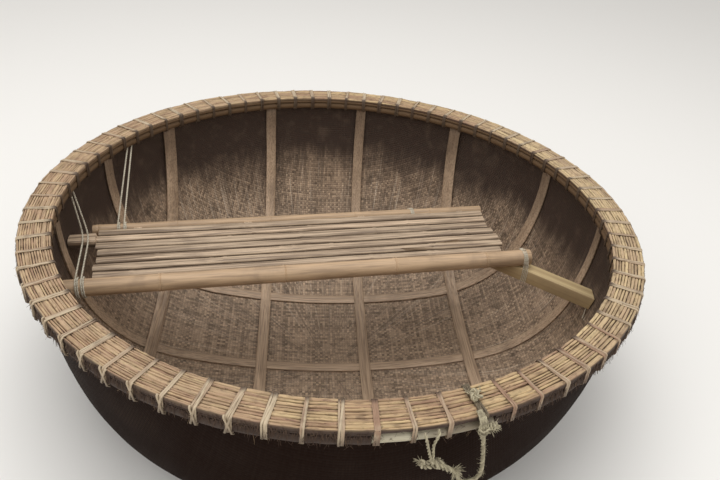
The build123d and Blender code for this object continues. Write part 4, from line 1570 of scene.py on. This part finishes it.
class BOAT_OT_rope(bpy.types.Operator):
    """Build the mooring rope on its route, with its lashing, knots and strands"""
    bl_idname = "boat.rope"
    bl_label = "Mooring rope"

    def execute(self, context):
        draw = random.Random(sizes().seed + 5)
        route = [by_rope(*row) for row in ROPE_ROUTE]
        line = spline_points(route)
        rope = laid("mooring_rope_laid", line, ROPE_D, 3, 0.034, draw)
        fibres = loose_fibres("mooring_rope_fibres", line, ROPE_D / 2, 170, 0.010, draw)
        finished(smooth(rope, 60), rope_material(), "rope", "mooring_rope")
        finished(fibres, rope_material(), "rope")
        strands = self.strands(route, draw)
        left = self.left_knot(route, draw)
        self.right_knot(route[0], draw)
        self.lashing(draw)
        self.top_knot(draw)
        return {"FINISHED"}

    @staticmethod
    def span(line):
        return sum((b - a).length for a, b in zip(line, line[1:]))

    def strands(self, route, draw):
        """Two pale strands from the rim's edge down over the hoop to the rope's left knot."""
        parts = []
        for along, lean in ((-0.151, 0.006), (-0.116, -0.016)):
            line = [by_rope(along, -0.004, 0.009), by_rope(along, 0.006, 0.014),
                    by_rope(along + lean, 0.0085, 0.040), by_rope((along + lean) * 0.6 - 0.048, 0.011, 0.078)]
            line = spline_points(line + [route[-1] + around(-0.010, ROPE_AZIMUTH + 90, -0.004)])
            parts.append(laid("knot_strand", line, 0.0076, 2, 0.022, draw))
        return rope_piece("rope_strands_laid", parts, "rope_strands")

    def left_knot(self, route, draw):
        """The rope's end turned back along itself, with a frayed tip and a grey tuft where it ends."""
        end, inner = route[-1], route[-2]
        back = (inner - end).normalized()
        out, side = ROPE_OUT, ROPE_SIDE
        tail = [end + back * 0.020 + UP * 0.012, end + UP * 0.010 - side * 0.012,
                end - side * 0.034 + UP * 0.012, end - side * 0.040 + UP * 0.026,
                end - side * 0.044 + UP * 0.010, end - side * 0.030 - UP * 0.004,
                end - UP * 0.008, inner - UP * 0.010, inner + back * 0.012 - UP * 0.006]
        ring = [end - side * 0.006 + (UP * math.cos(a) + out * math.sin(a)) * 0.0115 + side * 0.002 * a
                for a in (*RING_ANGLES, 6.28)]
        parts = [laid("left_knot_tail", spline_points(tail), 0.0112, 2, 0.026, draw),
                 laid("left_knot_ring", spline_points(ring), 0.0075, 3, 0.024, draw)]
        parts += tuft(end - side * 0.042 + UP * 0.020, UP - side * 0.6, 20, 0.016, draw)
        parts += tuft(inner - UP * 0.006, back + UP * 0.9, 46, 0.026, draw)
        parts += tuft(inner - UP * 0.010, -UP + back * 0.5, 36, 0.022, draw)
        return rope_piece("rope_knot_left_turns", parts, "rope_knot_left")

    def right_knot(self, foot, draw):
        """The rope's bound bundle over the rim's edge, with frayed ends."""
        out, side = ROPE_OUT, ROPE_SIDE
        parts = []
        for number in range(5):
            shift = side * (number - 2) * 0.0045
            line = [foot + UP * -0.010 + shift * 0.4, foot + UP * 0.006 + shift + out * 0.003,
                    foot + UP * 0.022 - out * 0.002 + shift, foot + UP * 0.040 - out * 0.010 + shift * 0.8,
                    foot + UP * 0.044 - out * 0.034 + shift * 0.5]
            parts.append(laid("bundle_strand", spline_points(line), 0.0058, 2, 0.019, draw))
        for number in range(2):
            ring = [foot + UP * (0.008 + 0.011 * number) + side * 0.014 * math.cos(a)
                    + out * 0.010 * math.sin(a) + UP * 0.003 * math.sin(2 * a) for a in RING_ANGLES]
            parts.append(laid("bundle_ring", spline_points(ring + ring[:2]), 0.0055, 2, 0.018, draw))
        for number, wide in enumerate((0.0060, 0.0085, 0.0062)):
            ring = [foot + side * (0.016 + 0.0065 * number) + UP * (0.020 + wide * math.cos(a))
                    + out * (wide * math.sin(a) - 0.001) for a in RING_ANGLES]
            parts.append(laid("bundle_roll", spline_points(ring + ring[:2]), 0.0074, 2, 0.020, draw))
        parts += tuft(foot + side * 0.024 + UP * 0.020, side + out * 0.3, 46, 0.015, draw)
        parts += tuft(foot + side * 0.016 + UP * 0.012, side - UP * 0.6 + out * 0.4, 34, 0.015, draw)
        return rope_piece("rope_knot_right_turns", parts, "rope_knot_right")

    def lashing(self, draw):
        """Turns of dark cord over the rim at the rope."""
        turns = []
        for aside in (-0.0056, 0.0, 0.0056):
            line = [turn(ROPE_AZIMUTH) @ Vector((r, aside + draw.uniform(-0.0012, 0.0012), z))
                    for r, z in lash_stops(0.004)]
            turns.append(laid("rope_lash_turn", spline_points(line), 0.0064, 3, 0.021, draw))
        dark = cord_material("dark_cord", paint(132, 118, 94), (0.07, 0.055, 0.04))
        rope_piece("rope_lashing_turns", turns, "rope_lashing", dark)

    def top_knot(self, draw):
        """A pulled overhand knot on top of the rope's lashing, with two short tails."""
        centre = around(HULL_TOP_R - 0.003, ROPE_AZIMUTH, RIM_TOP + 0.0135)
        out, side = ROPE_OUT, ROPE_SIDE
        loop = []
        for step in range(24):
            t = 2 * math.pi * step / 24 + 0.6
            loop.append(centre + side * (math.sin(t) + 2 * math.sin(2 * t)) * 0.0046
                        + out * (math.cos(t) - 2 * math.cos(2 * t)) * 0.0054 - UP * math.sin(3 * t) * 0.0052)
        parts = [laid("top_knot_loop", spline_points(loop), 0.0088, 3, 0.026, draw)]
        for heading in (side * 0.8 - out * 0.5, -side * 0.5 - out * 0.6):
            line = [centre, centre + heading * 0.014 + UP * 0.002, centre + heading * 0.026 - UP * 0.004]
            parts.append(laid("top_knot_tail", spline_points(line), 0.0070, 3, 0.022, draw))
            parts += tuft(line[-1], heading, 8, 0.010, draw)
        rope_piece("rope_knot_top_turns", parts, "rope_knot_top")


class BOAT_OT_slings(bpy.types.Operator):
    """Build the doubled twines that hold the bench's wall end to the rim"""
    bl_idname = "boat.slings"
    bl_label = "Bench slings"

    def execute(self, context):
        draw = random.Random(sizes().seed + 6)
        width = sizes().sling_width
        over_slat_across = SLATS_FROM + (LONG_SLAT - 0.5) * (SLATS_TO - SLATS_FROM) / SLAT_COUNT
        over_slat_z = SLAT_BASE + SLAT_THICK + 0.007 + width / 2
        top_z = HOOP_BASE + 0.004
        parts = []
        for side in (-1, 1):
            front_aside, rear_aside = side * FRONT_SLING_SPREAD, side * REAR_SLING_SPREAD
            foot = on_bench(FRONT_SLING_FOOT + front_aside, FRONT_POLE_ACROSS, BENCH_Z)
            over_slat = on_bench(FRONT_SLING_OVER_SLAT + front_aside, over_slat_across, over_slat_z)
            top = around(SLING_TOP_R, FRONT_SLING_AZIMUTH - side * FRONT_SLING_FAN, top_z)
            parts.append(self.twine(foot, FRONT_POLE_D / 2, (over_slat, top), width, draw))
            foot = on_bench(REAR_SLING_FOOT + rear_aside, REAR_POLE_ACROSS, REAR_POLE_Z)
            top = around(SLING_TOP_R, REAR_SLING_AZIMUTH - side * REAR_SLING_FAN, top_z)
            parts.append(self.twine(foot, REAR_POLE_D / 2, (top,), width, draw))
        slings = joined("bench_sling_twines", parts)
        smooth(slings, 60)
        finished(slings, twine_material(), "twine", "bench_slings")
        return {"FINISHED"}

    @staticmethod
    def twine(foot, radius, stops, width, draw):
        """A turn and a half of twine round a pole, then on from its upper side over the stops."""
        reach = stops[0] - foot
        away, up = reach.dot(BENCH_ACROSS), reach.z
        grown = radius + width / 2
        leaves = math.atan2(up, away) + math.acos(grown / math.hypot(away, up))
        grown /= math.cos(math.pi / 14)
        places = []
        for step in reversed(range(19)):
            angle = leaves + step * math.pi / 6
            places.append(foot + BENCH_ACROSS * grown * math.cos(angle)
                          + Vector((0, 0, grown * math.sin(angle)))
                          + BENCH_ALONG * width * 1.05 * max(step - 1, 0) / 12)
        way = [*places[-1:], *stops]
        for before, after in zip(way, way[1:]):
            places += [before.lerp(after, 0.15), before.lerp(after, 0.5), before.lerp(after, 0.93)]
        return laid("sling_twine", spline_points([*places, stops[-1]]), width, 2, 0.017, draw)


# The stage


class BOAT_OT_stage(bpy.types.Operator):
    """Set the floor at the waterline, the lamps and the camera"""
    bl_idname = "boat.stage"
    bl_label = "Stage"

    def execute(self, context):
        scene = context.scene
        line = hull_line(WALL / 2)
        number = next(index for index, (_, height) in enumerate(line) if height > 0)
        (low_r, low_z), (high_r, high_z) = line[number - 1], line[number]
        hole = low_r + (high_r - low_r) * -low_z / (high_z - low_z)
        only()
        bpy.ops.mesh.primitive_circle_add(vertices=FLOOR_SIDES, radius=hole)
        floor = start("floor")
        with editing(floor, "EDGE"):
            select_all()
            extrude(0, 0, 0)
            grow = FLOOR_REACH / hole
            bpy.ops.transform.resize(value=(grow, grow, 1), center_override=(0, 0, 0))
            agree()
        floor.data.materials.append(finish_of("floor", floor_finish))

        for label, place, size, power in LAMPS:
            data = bpy.data.lights.new(f"{label}_lamp", "AREA")
            data.shape = "SQUARE"
            data.size = size
            data.energy = power
            lamp = bpy.data.objects.new(f"{label}_lamp", data)
            scene.collection.objects.link(lamp)
            lamp.location = place
            lamp.rotation_euler = (LAMPS_LOOK_AT - Vector(place)).to_track_quat("-Z", "Y").to_euler()

        world = bpy.data.worlds.new("studio")
        scene.world = world
        world.use_nodes = True
        background = world.node_tree.nodes["Background"]
        background.inputs["Color"].default_value = WORLD_COLOUR
        seen = world.node_tree.nodes.new("ShaderNodeLightPath")
        strength = world.node_tree.nodes.new("ShaderNodeMath")
        strength.operation = "MULTIPLY_ADD"
        strength.inputs[1].default_value = WORLD_SEEN_CHANGE
        strength.inputs[2].default_value = WORLD_STRENGTH
        world.node_tree.links.new(seen.outputs["Is Camera Ray"], strength.inputs[0])
        world.node_tree.links.new(strength.outputs[0], background.inputs["Strength"])

        camera = bpy.data.objects.new("camera", bpy.data.cameras.new("camera"))
        scene.collection.objects.link(camera)
        camera.data.lens = CAMERA_LENS
        camera.data.sensor_width = CAMERA_SENSOR
        right = CAMERA_FORWARD.cross(CAMERA_UP).normalized()
        up = right.cross(CAMERA_FORWARD).normalized()
        facing = Matrix((right, up, -CAMERA_FORWARD.normalized())).transposed().to_4x4()
        camera.matrix_world = Matrix.Translation(CAMERA_PLACE) @ facing
        scene.camera = camera
        scene.view_settings.view_transform = "Standard"
        return {"FINISHED"}


class BOAT_PT_panel(bpy.types.Panel):
    """The boat's builders, sizes and colours"""
    bl_idname = "BOAT_PT_panel"
    bl_label = "Basket Boat"
    bl_space_type = "VIEW_3D"
    bl_region_type = "UI"
    bl_category = "Basket Boat"

    def draw(self, context):
        layout = self.layout
        for builder in BUILDERS:
            layout.operator(builder.bl_idname)
        for group in (context.scene.boat_sizes, context.scene.boat_colours):
            column = layout.column(align=True)
            for name in group.bl_rna.properties.keys():
                if name not in ("rna_type", "name"):
                    column.prop(group, name)


BUILDERS = (BOAT_OT_stage, BOAT_OT_rope, BOAT_OT_hull, BOAT_OT_ribs, BOAT_OT_strips, BOAT_OT_lashings,
            BOAT_OT_hoops, BOAT_OT_fringe, BOAT_OT_bench, BOAT_OT_timber, BOAT_OT_slings)
CLASSES = (BoatSizes, BoatColours, *BUILDERS, BOAT_PT_panel)


def register():
    for item in CLASSES:
        bpy.utils.register_class(item)
    bpy.types.Scene.boat_sizes = bpy.props.PointerProperty(type=BoatSizes)
    bpy.types.Scene.boat_colours = bpy.props.PointerProperty(type=BoatColours)


def unregister():
    del bpy.types.Scene.boat_colours
    del bpy.types.Scene.boat_sizes
    for item in reversed(CLASSES):
        bpy.utils.unregister_class(item)


def main():
    register()
    for builder in BUILDERS:
        group, name = builder.bl_idname.split(".")
        getattr(getattr(bpy.ops, group), name)()


if __name__ == "__main__":
    main()
